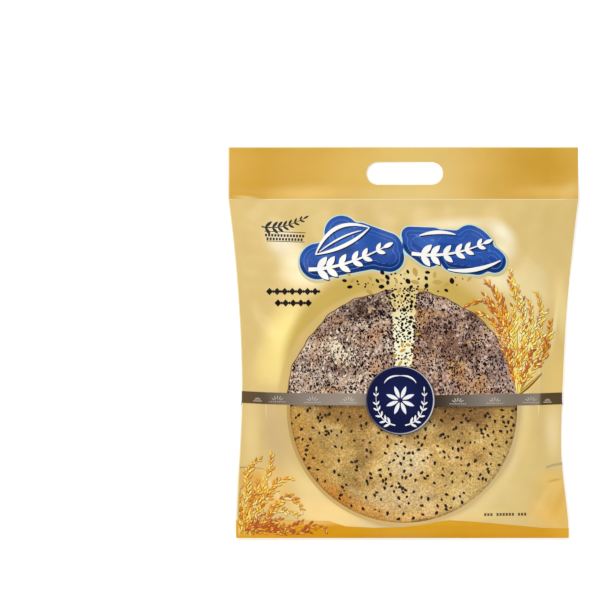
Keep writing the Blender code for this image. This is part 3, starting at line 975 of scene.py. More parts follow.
class CRACKER_PACK_OT_tray(bpy.types.Operator):
    """Makes the clear ribbed tray under the crackers"""

    bl_idname = "cracker_pack.tray"
    bl_label = "Tray"

    def execute(self, context):
        sectors = 4 * TRAY_RIBS
        radii = (0.5, 36.4, 37.1, 37.8, 38.6, 70, 104, 106.4, 107.5, 108.6, 109.6, 111, 119, 127, 128.4, 129)
        turns = np.arange(sectors) * 2 * math.pi / sectors
        sheet = Cutout()
        rings = []
        for radius in (*radii, TRAY_RADIUS):
            rings.append([sheet.add_point(x, y, 0.0) for x, y in ring_of(radius, turns)])
        for inner, outer in zip(rings, rings[1:]):
            for k in range(sectors):
                n = (k + 1) % sectors
                sheet.faces.append([inner[k], outer[k], outer[n], inner[n]])
                sheet.inks.append(0)

        def upper(x, y):
            return tray_level(np.hypot(x, y - TRAY_Y), np.arctan2(y - TRAY_Y, x))

        clear = formed_sheet("clear formed sheet", 0.05, 0.13)
        mesh = sheet.mesh("tray_sheet", upper, lambda x, y: upper(x, y) - 0.4, [clear])
        place("tray_sheet", mesh, "clear_tray", "tray")
        # The embossed zigzag lines, rings and ribs, drawn as whiter strips under the sheet: the real pattern
        # with a painted highlight on its crests
        lines = Cutout()
        for row in np.arange(-100, 101, 4.2):
            reach = math.sqrt(max(0.0, 104**2 - row * row))
            spots = np.arange(-reach, reach, 3.0)
            zigzag = row + 1.1 * np.where(np.arange(len(spots)) % 2, 1, -1)
            on_boss = np.hypot(spots, zigzag) <= TRAY_BOSS + 1.5
            for run in np.split(np.arange(len(spots)), np.nonzero(on_boss)[0]):
                run = [(spots[i], zigzag[i] + TRAY_Y) for i in run if not on_boss[i]]
                if len(run) > 2:
                    lines.stroke(run, 0.55)
        for radius, width in ((TRAY_BOSS, 0.9), (107.4, 1.0), (129.6, 1.2)):
            lines.stroke(ring_of(radius, np.linspace(0, 2 * math.pi, 241)), width)
        for k in range(TRAY_RIBS):
            turn = 2 * math.pi * k / TRAY_RIBS
            ridge = [ring_of(radius, [turn])[0] for radius in (109.8, 116, 122, 128.6)]
            lines.stroke(ridge, (0.5, 0.9, 0.9, 0.5))
        glint = formed_sheet("formed ridge highlights", 0.45, 0.75)
        mesh = lines.mesh(
            "tray_ridge_highlights", lambda x, y: upper(x, y) - 0.35, lambda x, y: upper(x, y) - 0.65, [glint]
        )
        place("tray_ridge_highlights", mesh, "clear_tray")
        return {"FINISHED"}


def cracker_reach(radius, turn, angle):
    """Outline of a cracker, a little out of round."""
    wave = 0.5 * np.sin(3 * angle + turn) + 0.3 * np.sin(7 * angle + 2 * turn)
    return radius * (1 + 0.010 * (wave + 0.25 * np.sin(13 * angle - turn)))


def cracker_level(cracker, x, y):
    """Height of a cracker's middle surface: its dish, the slow warp of the sheet and its blisters."""
    centre_y, middle, radius, dish, turn = cracker
    y = y - centre_y
    outward = (x * x + y * y) / radius**2
    slow = np.sin(0.024 * x + 0.015 * y + turn) + 0.7 * np.sin(0.031 * y - 0.012 * x + 2 * turn)
    quick = np.sin(0.112 * x + turn) * np.sin(0.097 * y - 1.7 * turn)
    return middle + dish * outward + slow * (1 - 0.5 * outward) + 0.6 * quick


def cracker_face(cracker, side, x, y):
    """Height of one face of a cracker, with its blisters and crumb; side is 1 for the upper one."""
    half = bpy.context.scene.cracker_settings.sheet / MM / 2
    centre_y, _, radius, _, turn = cracker
    angle = np.arctan2(y - centre_y, x)
    inset = cracker_reach(radius, turn, angle) - np.hypot(x, y - centre_y)
    rounded = 0.76 + 0.24 * np.sqrt(np.clip(inset / 0.9, 0, 1))
    seed = 30 + 7 * side + int(10 * turn)
    blisters = 0.45 * smooth((waves(x, y, seed, 9, 24) - 0.5) / 0.9)
    crumb = 0.09 * waves(x, y, seed + 1, 3.2, 6.5, 14)
    return cracker_level(cracker, x, y) + side * (half * rounded + blisters + crumb)


# Browned patches, and on the front crust a painted shadow just under the ribbon: x, y, half-width,
# half-height, turn, colour, strength, fade
FRONT_BROWNED_AND_RIBBON_SHADOW = (
    (-100, -112, 26, 70, 30, "c98f38", 0.9, 0.34),
    (-64, -158, 42, 18, -42, "c4822c", 1.0, 0.34),
    (-34, -172, 54, 16, -12, "cb9140", 0.9, 0.34),
    (14, -177, 50, 13, 3, "deb067", 0.95, 0.34),
    (48, -172, 30, 12, 20, "c9a055", 0.7, 0.34),
    (4, -118, 30, 24, 10, "ddc596", 0.9, 0.34),
    (-2, -154, 46, 22, 0, "d2b581", 0.8, 0.34),
    (60, -142, 40, 26, 0, "cdae6c", 0.6, 0.34),
    (-108, -80, 14, 40, 8, "c19444", 0.7, 0.34),
    # painted shadow of the ribbon and the printed film on the crust just below the ribbon
    (-54, -72, 52, 19, -4, "936b2f", 0.9, 0.34),
    (64, -70, 76, 25, 0, "7e592c", 0.95, 0.34),
    (97, -112, 18, 36, -24, "c9ab68", 0.85, 0.34),
    (16, -97, 28, 14, 0, "b8924f", 0.8, 0.34),
    (100, -86, 26, 32, 0, "ba964f", 0.85, 0.34),
    (46, -92, 30, 16, -20, "9a7a3e", 0.6, 0.34),
    (-62, -96, 34, 18, 10, "a17d3c", 0.6, 0.34),
    (-44, -118, 16, 12, 30, "92713a", 0.6, 0.34),
    (-70, -128, 30, 24, 0, "c9a45c", 0.5, 0.34),
    (-50, -138, 24, 28, 0, "a07c3c", 0.6, 0.34),
    (-88, -106, 18, 42, 20, "a68140", 0.5, 0.34),
    # a dark line along the crust's lower edge
    (24, -178.4, 24, 4.2, 6, "9c6c2a", 0.8, 0.3),
)
BACK_BROWNED = (
    (-90, -10, 40, 70, 20, "a67c3c", 0.8, 0.34),
    (70, 30, 60, 40, -30, "b0935c", 0.7, 0.34),
    (0, -120, 80, 30, 0, "a98348", 0.8, 0.34),
)


class CRACKER_PACK_OT_crackers(bpy.types.Operator):
    """Makes the two crackers that the windows show"""

    bl_idname = "cracker_pack.crackers"
    bl_label = "Crackers"

    def execute(self, context):
        pair = (
            ("front_cracker", FRONT_CRACKER, FRONT_BROWNED_AND_RIBBON_SHADOW, "cracker_front"),
            ("back_cracker", BACK_CRACKER, BACK_BROWNED, "cracker_back"),
        )
        for name, cracker, browned, node in pair:
            centre_y, _, radius, _, turn = cracker
            reach = radius * 1.02

            def field(x, y):
                return np.hypot(x, y - centre_y) - cracker_reach(radius, turn, np.arctan2(y - centre_y, x))

            shapes = Cutout()
            shapes.patch((-reach, centre_y - reach), (reach, centre_y + reach), 1.9, field)
            crust = toasted_crust(name.replace("_", " ") + " crust", browned)
            mesh = shapes.mesh(
                name,
                lambda x, y: cracker_face(cracker, 1, x, y),
                lambda x, y: cracker_face(cracker, -1, x, y),
                [crust],
            )
            place(name, mesh, "toasted_crust", node)
        return {"FINISHED"}


def seed_form():
    """Points and faces of one seed a unit long, wide and tall: a flat drop with a rounded end."""
    sectors, rings = 8, 5
    points = [(-0.5, 0.0, 0.0)]
    for i in range(1, rings + 1):
        t = math.pi * i / (rings + 1)
        girth = math.sin(t) * (1 - 0.28 * math.cos(t)) * 0.5 / 1.04
        for k in range(sectors):
            turn = 2 * math.pi * k / sectors
            points.append((-0.5 * math.cos(t), girth * math.cos(turn), girth * math.sin(turn)))
    points.append((0.5, 0.0, 0.0))
    faces = []
    for k in range(sectors):
        n = (k + 1) % sectors
        faces.append((0, 1 + n, 1 + k))
        for i in range(rings - 1):
            low, high = 1 + i * sectors, 1 + (i + 1) * sectors
            faces.append((low + k, low + n, high + n, high + k))
        faces.append((len(points) - 1, 1 + (rings - 1) * sectors + k, 1 + (rings - 1) * sectors + n))
    return np.array(points), faces


def seed_places(count, cracker, draw):
    """Places over a cracker, fairly even but never on top of each other, about a third next to another."""
    centre_y, _, radius, _, _ = cracker
    spots = []

    def room(spot):
        return min((math.hypot(spot[0] - a, spot[1] - b) for a, b in spots), default=9.0)

    while len(spots) < count:
        if spots and draw.random() < 0.36:
            near = draw.choice(spots)
            turn = draw.uniform(0, 2 * math.pi)
            gap = draw.uniform(2.9, 4.8)
            spot = near[0] + gap * math.cos(turn), near[1] + gap * math.sin(turn)
        else:
            tries = []
            for _ in range(4):
                reach, turn = radius * math.sqrt(draw.random()), draw.uniform(0, 2 * math.pi)
                tries.append((reach * math.cos(turn), centre_y + reach * math.sin(turn)))
            spot = max(tries, key=room)
        if math.hypot(spot[0], spot[1] - centre_y) < radius * 0.965 and room(spot) > 2.8:
            spots.append(spot)
    return spots


class CRACKER_PACK_OT_seeds(bpy.types.Operator):
    """Sows sesame seeds on the face of each cracker that its window shows"""

    bl_idname = "cracker_pack.seeds"
    bl_label = "Sesame seeds"

    def execute(self, context):
        looks = context.scene.cracker_settings
        black = sesame("black sesame", looks.seed, "3a2b26")
        brown = sesame("browned sesame", "5a3c22", "7d5a33")
        form, form_faces = seed_form()
        size = np.array((looks.seed_length, looks.seed_width, looks.seed_height)) / MM
        for name, cracker, side, seed in (
            ("front_seeds", FRONT_CRACKER, 1, 11),
            ("back_seeds", BACK_CRACKER, -1, 12),
        ):
            draw = random.Random(seed)
            spots = seed_places(looks.seeds + looks.sunk, cracker, draw)
            draw.shuffle(spots)
            levels = cracker_face(cracker, side, np.array(spots)[:, 0], np.array(spots)[:, 1])
            points, faces, inks = [], [], []
            for k, ((x, y), level) in enumerate(zip(spots, levels)):
                sunk = k >= looks.seeds
                turn, lean = draw.gauss(math.pi / 2, 0.9), draw.uniform(-0.18, 0.18)
                scale = draw.uniform(0.8, 1.16) * (0.85 if sunk else 1.0)
                rise = side * size[2] * (0.02 if sunk else 0.30)
                body = form * size * scale
                c, s = math.cos(lean), math.sin(lean)
                body = body @ np.array(((c, 0, s), (0, 1, 0), (-s, 0, c)))
                c, s = math.cos(turn), math.sin(turn)
                body = body @ np.array(((c, s, 0), (-s, c, 0), (0, 0, 1)))
                start = len(points)
                points.extend(body + np.array((x, y, level + rise)))
                faces.extend([i + start for i in face] for face in form_faces)
                inks.extend([int(sunk)] * len(form_faces))
            mesh = made_mesh(name, points, faces, inks, [black, brown])
            place(name, mesh, "toasted_crust")
        return {"FINISHED"}


def disc_edge(x, y):
    """Distance to the printed half disc, with a slightly broken rim, below zero inside it."""
    angle = np.arctan2(y - DISC_Y, x - DISC_X)
    broken = 0.9 * np.sin(9 * angle + 1) + 0.6 * np.sin(23 * angle) + 0.35 * np.sin(47 * angle + 2)
    radius = bpy.context.scene.pack_sizes.disc / MM
    return np.maximum(np.hypot(x - DISC_X, y - DISC_Y) - radius - broken, ribbon_middle(x) - y)


def gap_sides(y):
    """Left and right side of the crack down the middle of the printed disc."""
    down = np.clip((47 - y) / 70, 0, 1)
    jag = 0.8 * np.sin(y * 0.9) + 0.6 * np.sin(y * 0.37 + 1)
    return -12.5 + 4.2 * down + jag, 13.0 - 5.2 * down + 0.8 * jag


def gap_field(x, y):
    """Distance to the cream gap between the two half discs, below zero inside it."""
    low, high = gap_sides(y)
    return np.maximum(np.maximum(low - x, x - high), -34 - y)


def on_crumb(x, y, inset, clear):
    """Whether a place is that far inside the printed disc, and that far from its gap."""
    low, high = gap_sides(y)
    return not (disc_edge(x, y) > -inset or low - clear < x < high + clear)


# Blots on the crumb of the left and of the right half disc
LEFT_CRUMB = (
    (-66, -8, 25, 13, -40, "ecdabc", 1.0, 0.5),
    (-92, -34, 22, 20, 0, "cdb9aa", 0.8, 0.5),
    (-40, 34, 36, 17, 20, "52392f", 0.95, 0.5),
    (-84, 12, 16, 12, 50, "7b6458", 0.6, 0.5),
    (-30, 6, 20, 12, 30, "cd9a72", 0.9, 0.5),
    (-24, -26, 18, 14, -40, "d19c74", 0.9, 0.5),
    (-74, -48, 12, 8, 0, "cf9a72", 0.8, 0.5),
)
RIGHT_CRUMB = (
    (30, 38, 36, 8, -14, "d3bcae", 0.9, 0.5),
    (52, -2, 36, 22, -30, "83604c", 0.9, 0.5),
    (30, 18, 14, 20, 10, "8b6a5a", 0.6, 0.5),
    (54, -31, 22, 13, -50, "ca9258", 0.9, 0.5),
    (70, 14, 17, 13, 0, "7c6052", 0.8, 0.5),
    (31, -8, 12, 11, 0, "b6927c", 0.6, 0.5),
    (58, -50, 34, 8, 0, "c6a48f", 0.7, 0.5),
    (18, -22, 16, 16, 0, "cfae9c", 0.8, 0.5),
    (96, -26, 20, 30, 0, "a58f88", 0.8, 0.5),
)


class CRACKER_PACK_OT_printed_disc(bpy.types.Operator):
    """Prints the two seeded half discs over the ribbon, and what falls between them"""

    bl_idname = "cracker_pack.printed_disc"
    bl_label = "Printed half disc"

    def execute(self, context):
        edge = Cutout()
        low, high = (-120, -62), (120, 58)
        edge.patch(low, high, 2.1, lambda x, y: np.maximum(disc_edge(x, y) - 0.9, -gap_field(x, y) - 1.2))
        print_on_front("printed_disc_edge", edge, film_print("disc shadow print", "6f5432"))
        halves = Cutout()
        halves.patch(low, (2, 58), 1.7, lambda x, y: np.maximum(disc_edge(x, y), x - gap_sides(y)[0]))
        halves.patch((-2, -62), high, 1.7, lambda x, y: np.maximum(disc_edge(x, y), gap_sides(y)[1] - x), 1)
        left = printed_crumb("printed crumb mauve", "82645a", "bb9f8d", "e8d2bd", "c89c7c", LEFT_CRUMB)
        right = printed_crumb("printed crumb brown", "705046", "b18e7d", "e2c5b2", "c8945f", RIGHT_CRUMB)
        print_on_front("printed_disc", halves, left, right)
        gap = Cutout()
        gap.patch((-16, -40), (17, 58), 1.2, lambda x, y: np.maximum(gap_field(x, y) - 0.4, disc_edge(x, y)))
        cream = film_print("printed cream gap", "e2cc8c", [(0, -14, 24, 62, 0, "f7f2cf", 1.0, 0.5)])
        print_on_front("printed_gap", gap, cream)
        draw = random.Random(4)
        specks = Cutout()
        placed = 0
        while placed < CRUMB_SEEDS:
            x, y = draw.uniform(-115, 112), draw.uniform(-50, 54)
            if not on_crumb(x, y, 1, 0) or draw.random() > 0.62 + 0.5 * waves(x, y, 77, 14, 40):
                continue
            long = draw.uniform(1.1, 2.3)
            wide = long * draw.uniform(0.55, 0.85)
            specks.petal(x, y, long, wide, draw.uniform(0, math.pi), blunt=0.6, steps=3)
            placed += 1
        for _ in range(90):
            x, y = draw.uniform(-100, 98), draw.uniform(-46, 44)
            if on_crumb(x, y, 4, 3):
                long = draw.uniform(3.0, 6.5)
                specks.petal(x, y, long, long * 0.5, draw.uniform(0, math.pi), 1, 0.6)
        anywhere = -math.inf
        half_turn = (0, math.pi)
        for count, pick, across, up, inset, clear, long, wide, turn, tone, blunt in (
            (18, draw.uniform, (-44, -8), (24, 49), 2, anywhere, (2.8, 4.4), (1.8, 2.6), half_turn, 0, 0.6),
            (26, draw.uniform, (-96, 94), (-44, 40), 4, 3, (3.2, 4.8), (2.2, 3.0), half_turn, 0, 0.55),
            (44, draw.gauss, (-68, 12), (-8, 9), 4, anywhere, (3.0, 6.0), (1.5, 2.2), (0.6, 2.6), 2, 0.7),
        ):
            for _ in range(count):
                x, y = pick(*across), pick(*up)
                if on_crumb(x, y, inset, clear):
                    size = draw.uniform(*long), draw.uniform(*wide)
                    specks.petal(x, y, *size, draw.uniform(*turn), tone, blunt)
        black = film_print("printed seed black", "1b1416", gloss=0.1)
        tan = film_print("printed grain tan", [(-110, "c9a27a"), (0, "cbb089"), (110, "b58c5f")])
        print_on_front("printed_disc_seeds", specks, black, tan, film_print("printed grain cream", "e9dac0"))
        falling = Cutout()
        taken = []

        def sprinkle(count, place_at, sizes, plump, tone=0):
            """Shapes at random places that keep clear of each other."""
            made = 0
            for _ in range(count * 4):
                x, y = place_at()
                long = draw.uniform(*sizes)
                near = any(math.hypot(x - a, y - b) < 0.40 * (long + size) for a, b, size in taken)
                if near or made == count:
                    continue
                falling.petal(x, y, long, long * draw.uniform(*plump), draw.uniform(0, math.pi), tone, 0.6)
                taken.append((x, y, long))
                made += 1

        def over_disc():
            while True:
                x, y = draw.gauss(3, 27), draw.uniform(50, 71)
                if disc_edge(x, y) > 2.5 and abs(x) < 66:
                    return x, y

        def in_gap():
            spread = draw.random() ** 1.15
            return draw.gauss(0.5, 8.0 - 2.5 * spread), 54 - 80 * spread

        def down_gap():
            return draw.gauss(2, 6.5), draw.uniform(4, 56)

        sprinkle(14, over_disc, (4.6, 7.0), (0.55, 0.75))
        sprinkle(24, down_gap, (3.0, 5.6), (0.5, 0.8))
        sprinkle(20, over_disc, (1.4, 2.8), (0.5, 0.8))
        sprinkle(12, in_gap, (4.5, 8.0), (0.35, 0.5), 1)
        sprinkle(14, over_disc, (5.5, 10.0), (0.4, 0.5), 2)
        sprinkle(170, in_gap, (1.5, 3.3), (0.6, 0.9))
        golden = film_print("printed grain gold", "c9a246")
        pale_grain = film_print("printed grain pale", [(-60, "bd9d50"), (60, "c6a75c")])
        print_on_front("printed_falling_seeds", falling, black, golden, pale_grain)
        return {"FINISHED"}


def curve(start, bend, end, steps):
    """Points of a quadratic curve from start to end, drawn towards bend."""
    t = np.linspace(0, 1, steps)[:, None]
    start, bend, end = (np.array(p, float) for p in (start, bend, end))
    return (1 - t) ** 2 * start + 2 * t * (1 - t) * bend + t**2 * end


def across_pack(level, rows):
    """Places from seam to seam at that height, repeated in that many rows."""
    left, right = left_edge(level), right_edge(level)
    return np.repeat((left + (right - left) * np.linspace(0, 1, 170))[None, :], rows, axis=0)


class CRACKER_PACK_OT_ribbon(bpy.types.Operator):
    """Prints the ribbon with its small pale motifs, the gold band at the foot and the side lines"""

    bl_idname = "cracker_pack.ribbon"
    bl_label = "Ribbon and foot band"

    def execute(self, context):
        width = context.scene.pack_sizes.ribbon / MM
        colours = context.scene.print_colours
        rows = np.linspace(-width / 2, width / 2, 9)[:, None]
        x = across_pack(ribbon_middle(0.0), len(rows))
        ribbon = Cutout()
        ribbon.region(x, ribbon_middle(x) + rows, x * 0 - 1.0)
        tones = [
            (-165, "69553c"),
            (-140, "5f4f3c"),
            (-132, "6e6152"),
            (-96, colours.ribbon),
            (-52, "a09384"),
            (-36, "83786c"),
            (26, "2e251e"),
            (40, "4a4036"),
            (84, "8b8177"),
            (112, "7f7468"),
            (135, "8a8073"),
            (137.5, "5a492f"),
            (160, "57472f"),
        ]
        print_on_front("printed_ribbon", ribbon, film_print("printed ribbon", tones))
        motifs = Cutout()
        for centre in (-146, -126, -91, -55, 54, 91, 127, 144):
            small = 0.5 if abs(centre) > 140 else 1.0
            low = ribbon_middle(centre) - 3.2
            reach = 3.6 * small
            for turn in (30, 60, 90, 120, 150):
                lean = math.radians(turn)
                x, y = centre + reach * math.cos(lean) * 1.3, low + 0.8 + reach * math.sin(lean)
                motifs.petal(x, y, 4.6 * small, 0.9, lean)
            for step in range(-4, 5):
                x = centre + step * 1.9 * small
                motifs.bar(x - 0.5, low, x + 0.5, low, 0.9)
        pale = film_print("printed motif pale", [(-150, "b5aa99"), (0, "d3cdc4"), (150, "b9ad9a")])
        print_on_front("printed_ribbon_motifs", motifs, pale)
        band = Cutout()
        x = across_pack(FOOT, 12)
        places = (-170, -137, -75, -58, -30, 0, 45, 80, 140, 170)
        top = np.interp(x, places, (-178.5, -178.2, -178.4, -184, -185.3, -184.6, -177.4, -180, -186, -186.5))
        band.region(x, FOOT + (top - FOOT) * np.linspace(0, 1, 12)[:, None], x * 0 - 1.0)
        tones = [
            (-165, "e0a528"),
            (-110, "dd981a"),
            (0, colours.band),
            (100, "d79d22"),
            (140, "d89d24"),
            (160, "dfa836"),
        ]
        blots = (
            (-96, -180, 56, 5, 0, "edc068", 0.9, 0.8),
            (40, -181, 60, 4, 0, "e2a92e", 0.6, 1.0),
            (30, -195, 190, 6, 0, "cb9014", 0.6, 1.0),
        )
        gold = film_print("printed foot band", tones, blots, gloss=DEEP_GLOSS)
        print_on_front("printed_foot_band", band, gold)
        lines = Cutout()
        lines.stroke(curve((-164, -125.5), (-152, -124.4), (-140, -126.5), 12), np.linspace(1.6, 0.6, 12))
        lines.stroke(curve((159.5, -121.5), (152, -122), (143, -125), 10), np.linspace(2.6, 2.0, 10), 1)
        brown = film_print("printed side line", "b39a66")
        print_on_front("printed_side_lines", lines, brown, film_print("printed side line grey", "b9ae84"))
        return {"FINISHED"}


def sprig(shapes, start, bend, end, leaves, length, width, stem):
    """A curved stem with leaves in pairs that get smaller towards its tip."""
    path = curve(start, bend, end, 24)
    shapes.stroke(path, stem * (1 - 0.75 * np.linspace(0, 1, 24)))
    run = np.gradient(path, axis=0)
    for k in range(leaves):
        share = (k + 0.6) / leaves
        node = int(share * 22) + 1
        heading = math.atan2(run[node][1], run[node][0])
        size = 1 - 0.45 * share
        for side in (-1, 1):
            turn = heading + side * (0.85 - 0.2 * share)
            reach = length * size / 2
            x, y = path[node] + reach * np.array((math.cos(turn), math.sin(turn)))
            shapes.petal(x, y, length * size, width * size, turn, blunt=0.8, steps=7)
    x, y = path[-1]
    heading = math.atan2(run[-1][1], run[-1][0])
    x, y = x + 0.3 * length * math.cos(heading), y + 0.3 * length * math.sin(heading)
    shapes.petal(x, y, length * 0.7, width * 0.6, heading)


BADGE_LOBES = (
    (-86, 81, -34, 91, 18),
    (-62, 110, -58, 96, 17),
    (-44, 106, -16, 96, 14),
    (-22, 86, -14, 85, 14.5),
    (14, 99, 26, 90, 14.5),
    (6, 108, 30, 107, 8),
    (40, 99, 76, 96, 14),
    (50, 84, 74, 81, 13.5),
    (66, 103, 70, 101, 14.5),
    (88, 84, 91, 81, 11.5),
)
# Blots of darker and brighter blue on the badge
BADGE_BLOTS = (
    (-62, 68, 64, 14, 6, "214596", 0.9, 0.6),
    (-30, 74, 40, 15, 8, "1a3674", 0.9, 0.6),
    (60, 71, 48, 14, 4, "1b3a80", 0.9, 0.6),
    (-92, 104, 30, 10, 50, "23479a", 0.8, 0.9),
    (-58, 96, 18, 12, 30, "1b3778", 0.8, 0.9),
    (-60, 104, 26, 14, 0, "3f6fc6", 0.9, 0.9),
    (-80, 88, 12, 9, 0, "4672c6", 0.8, 0.9),
    (24, 100, 16, 12, 0, "3c69bf", 0.8, 0.9),
    (58, 92, 20, 11, 0, "3b67be", 0.7, 0.9),
    (-2, 92, 8, 22, 0, "284d9d", 0.8, 0.9),
)


def badge_field(x, y):
    """Distance to the badge: lobes melted into one outline."""
    total = capsule(x, y, *BADGE_LOBES[0])
    for lobe in BADGE_LOBES[1:]:
        total = melted(total, capsule(x, y, *lobe), 3.0)
    return total


class CRACKER_PACK_OT_badge(bpy.types.Operator):
    """Prints the blue badge over the half disc, with its white sprigs"""

    bl_idname = "cracker_pack.badge"
    bl_label = "Badge"

    def execute(self, context):
        blue = context.scene.print_colours.badge
        low, high = (-112, 54), (112, 136)
        rim_ink = film_print("badge rim print", "b4e0dc", [(0, 120, 120, 26, 0, "e6e9cf", 0.8, 1.0)])
        badge_ink = film_print("badge blue print", blue, BADGE_BLOTS, 0.12, DEEP_GLOSS)
        for name, dx, dy, grown, step, print_ink in (
            ("badge_shadow", 0.6, -1.4, 2.4, 2.0, film_print("badge shadow print", "d6c28a")),
            ("badge_rim", 0, 0, 1.1, 1.8, rim_ink),
            ("badge", 0, 0, 0, 1.6, badge_ink),
        ):
            layer = Cutout()
            layer.patch(low, high, step, lambda x, y: badge_field(x - dx, y - dy) - grown)
            print_on_front(name, layer, print_ink)
        under = Cutout()
        for tone, (inset, drop, grown) in enumerate(((0.7, 6.5, 1.2), (8.6, 5, 9.6))):

            def crescent(x, y):
                above = badge_field(x + 1, y - drop)
                return np.maximum(badge_field(x, y) + inset, -above - grown)

            under.patch(low, high, 1.1, crescent, tone)
        shade = film_print("badge shade print", "1a3470", gloss=DEEP_GLOSS)
        inner_shade = film_print("badge inner shade print", "26499a", gloss=DEEP_GLOSS)
        print_on_front("badge_shade", under, shade, inner_shade)
        lines = Cutout()
        for inset, width in ((4.2, 0.9), (8.0, 0.7)):
            lines.patch(low, high, 0.9, lambda x, y: np.abs(badge_field(x, y) + inset) - width / 2)
        print_on_front("badge_lines", lines, film_print("badge line print", "4673c8"))
        dark = film_print("badge dark print", "162247", gloss=DEEP_GLOSS)
        white = film_print("badge white print", "f6f6f2", mottle=0.02)
        for name, aside, print_ink in (
            ("badge_sprig_shadow", (1.0, -1.2), dark),
            ("badge_sprigs", (0, 0), white),
        ):
            shapes, at = Cutout(), np.array(aside)
            sprig(shapes, at + (-95, 73), at + (-62, 73), at + (-20, 95), 6, 16.5, 7.0, 4.0)
            sprig(shapes, at + (8, 89), at + (44, 83), at + (80, 99), 6, 15.5, 6.6, 3.8)
            for start, bend, end, width in (
                ((-88, 88), (-72, 128), (-34, 115), 3.8),
                ((-88, 88), (-54, 94), (-34, 115), 3.6),
                ((-84, 91), (-62, 108), (-42, 112), 1.8),
                ((16, 107), (34, 113), (52, 108), 3.6),
                ((44, 73), (70, 68), (97, 82), 4.2),
            ):
                path = curve(at + start, at + bend, at + end, 18)
                shapes.stroke(path, width * np.sin(np.linspace(0.3, 2.9, 18)))
            print_on_front(name, shapes, print_ink)
        return {"FINISHED"}


class CRACKER_PACK_OT_roundel(bpy.types.Operator):
    """Prints the navy roundel on the ribbon"""

    bl_idname = "cracker_pack.roundel"
    bl_label = "Roundel"

    def execute(self, context):
        centre_x, centre_y, radius = ROUNDEL
        middle = np.array((centre_x, centre_y))
        silver = film_print("roundel rim print", [(-36, "4d4f66"), (-10, "8b8c99"), (28, "c9c9cf")])
        blots = [(centre_x, centre_y + 4, 30, 30, 0, "1c2353", 0.9, 0.8)]
        navy = film_print(
            "roundel navy print", context.scene.print_colours.roundel, blots, mottle=0.10, gloss=DEEP_GLOSS
        )
        for name, dx, dy, grown, print_ink in (
            ("roundel_shadow", 0.2, -0.3, 0.9, film_print("roundel shadow print", "4d4436")),
            ("roundel_rim", 0, 0, 0.3, silver),
            ("roundel", -0.2, 0.2, -0.7, navy),
        ):
            layer = Cutout()
            layer.patch(
                middle - radius - 3,
                middle + radius + 3,
                1.3,
                lambda x, y: circle(x, y, centre_x + dx, centre_y + dy, radius + grown),
            )
            print_on_front(name, layer, print_ink)
        white = Cutout()
        for k in range(8):
            turn = math.radians(22.5 + 45 * k)
            x, y = centre_x + 8.6 * math.cos(turn), centre_y + 8.6 * math.sin(turn)
            white.petal(x, y, 13, 3.8, turn, blunt=0.8, steps=8)
        for side in (-1, 1):
            start, bend, end = (middle + (side * x, y) for x, y in ((5, -25), (26, -21), (24, 9)))
            sprig(white, start, bend, end, 6, 7.6, 2.4, 1.3)
            start, bend, end = (middle + (side * x, y) for x, y in ((0, 24.5), (12, 25), (16, 17)))
            white.stroke(curve(start, bend, end, 12), 1.7 * np.sin(np.linspace(0.3, 2.9, 12)))
        print_on_front("roundel_sprigs", white, film_print("roundel white print", "f2f2f4", mottle=0.02))
        return {"FINISHED"}


# Inks of the rice ears: dark edge, stem, the grains from pale to brown, their streak, and the reddest grains
EAR_INKS = {
    "right": ("76400c", "cfa838", "fff4b0", "ffe466", "f6aa32", "ce7118", "fff6bc", "ac4414"),
    "left": ("84450f", "dfae48", "ffe690", "fdd35a", "f3ab3a", "d98120", "fbdf86", "c55d16"),
}
# Tones of the grains on the two sides of an ear
EAR_TONES = (
    ((5, 4, 5, 5), (4, 5, 3, 4)),
    ((4, 5, 4, 3), (3, 2, 4, 3)),
    ((3, 4, 2, 3), (2, 3, 5, 2)),
    ((7, 5, 7, 5), (4, 7, 5, 7)),
)
# Ears: tip, bend and foot of the seeded head, its half-width, and its tones
RIGHT_EARS = (
    ((63, 37), (92, 56), (103, 4), 5.0, 0),
    ((81, 47), (90, 34), (101, 14), 3.5, 0),
    ((73, 30), (86, 28), (99, 8), 3.0, 0),
    ((82, 61), (105, 44), (106, -4), 5.0, 0),
    ((107, 73), (108, 50), (118, 30), 4.5, 1),
    ((119, 44), (122, 26), (116, 0), 4.0, 2),
    ((133, 51), (141, 36), (134, 22), 2.5, 1),
    ((126, 41), (131, 24), (124, -2), 4.0, 1),
    ((144, 31), (136, 28), (129, 10), 3.0, 2),
    ((147, 20), (146, 2), (138, -10), 3.5, 0),
    ((144, 2), (143, -14), (131, -27), 4.0, 0),
    ((109, 36), (112, 20), (108, 2), 4.0, 1),
    ((113, 56), (117, 44), (119, 22), 3.5, 2),
    ((98, 14), (104, -4), (109, -26), 4.0, 0),
    ((136, 14), (130, 2), (122, -18), 4.0, 2),
    ((108, 8), (111, -10), (113, -32), 3.5, 1),
    ((122, 12), (121, -8), (118, -26), 3.5, 1),
    ((128, -8), (124, -18), (119, -34), 3.0, 3),
    ((140, 10), (137, -6), (128, -22), 3.0, 1),
    ((139, 22), (134, 8), (127, -12), 3.0, 1),
    ((92, 48), (100, 30), (106, 10), 3.5, 0),
    ((91, 18), (98, 2), (108, -30), 3.0, 0),
    ((104, -6), (107, -22), (111, -40), 3.0, 0),
    ((116, -4), (116, -22), (114, -42), 3.0, 1),
    ((126, -14), (122, -28), (117, -42), 3.0, 0),
    ((135, -18), (128, -30), (120, -40), 2.5, 1),
)
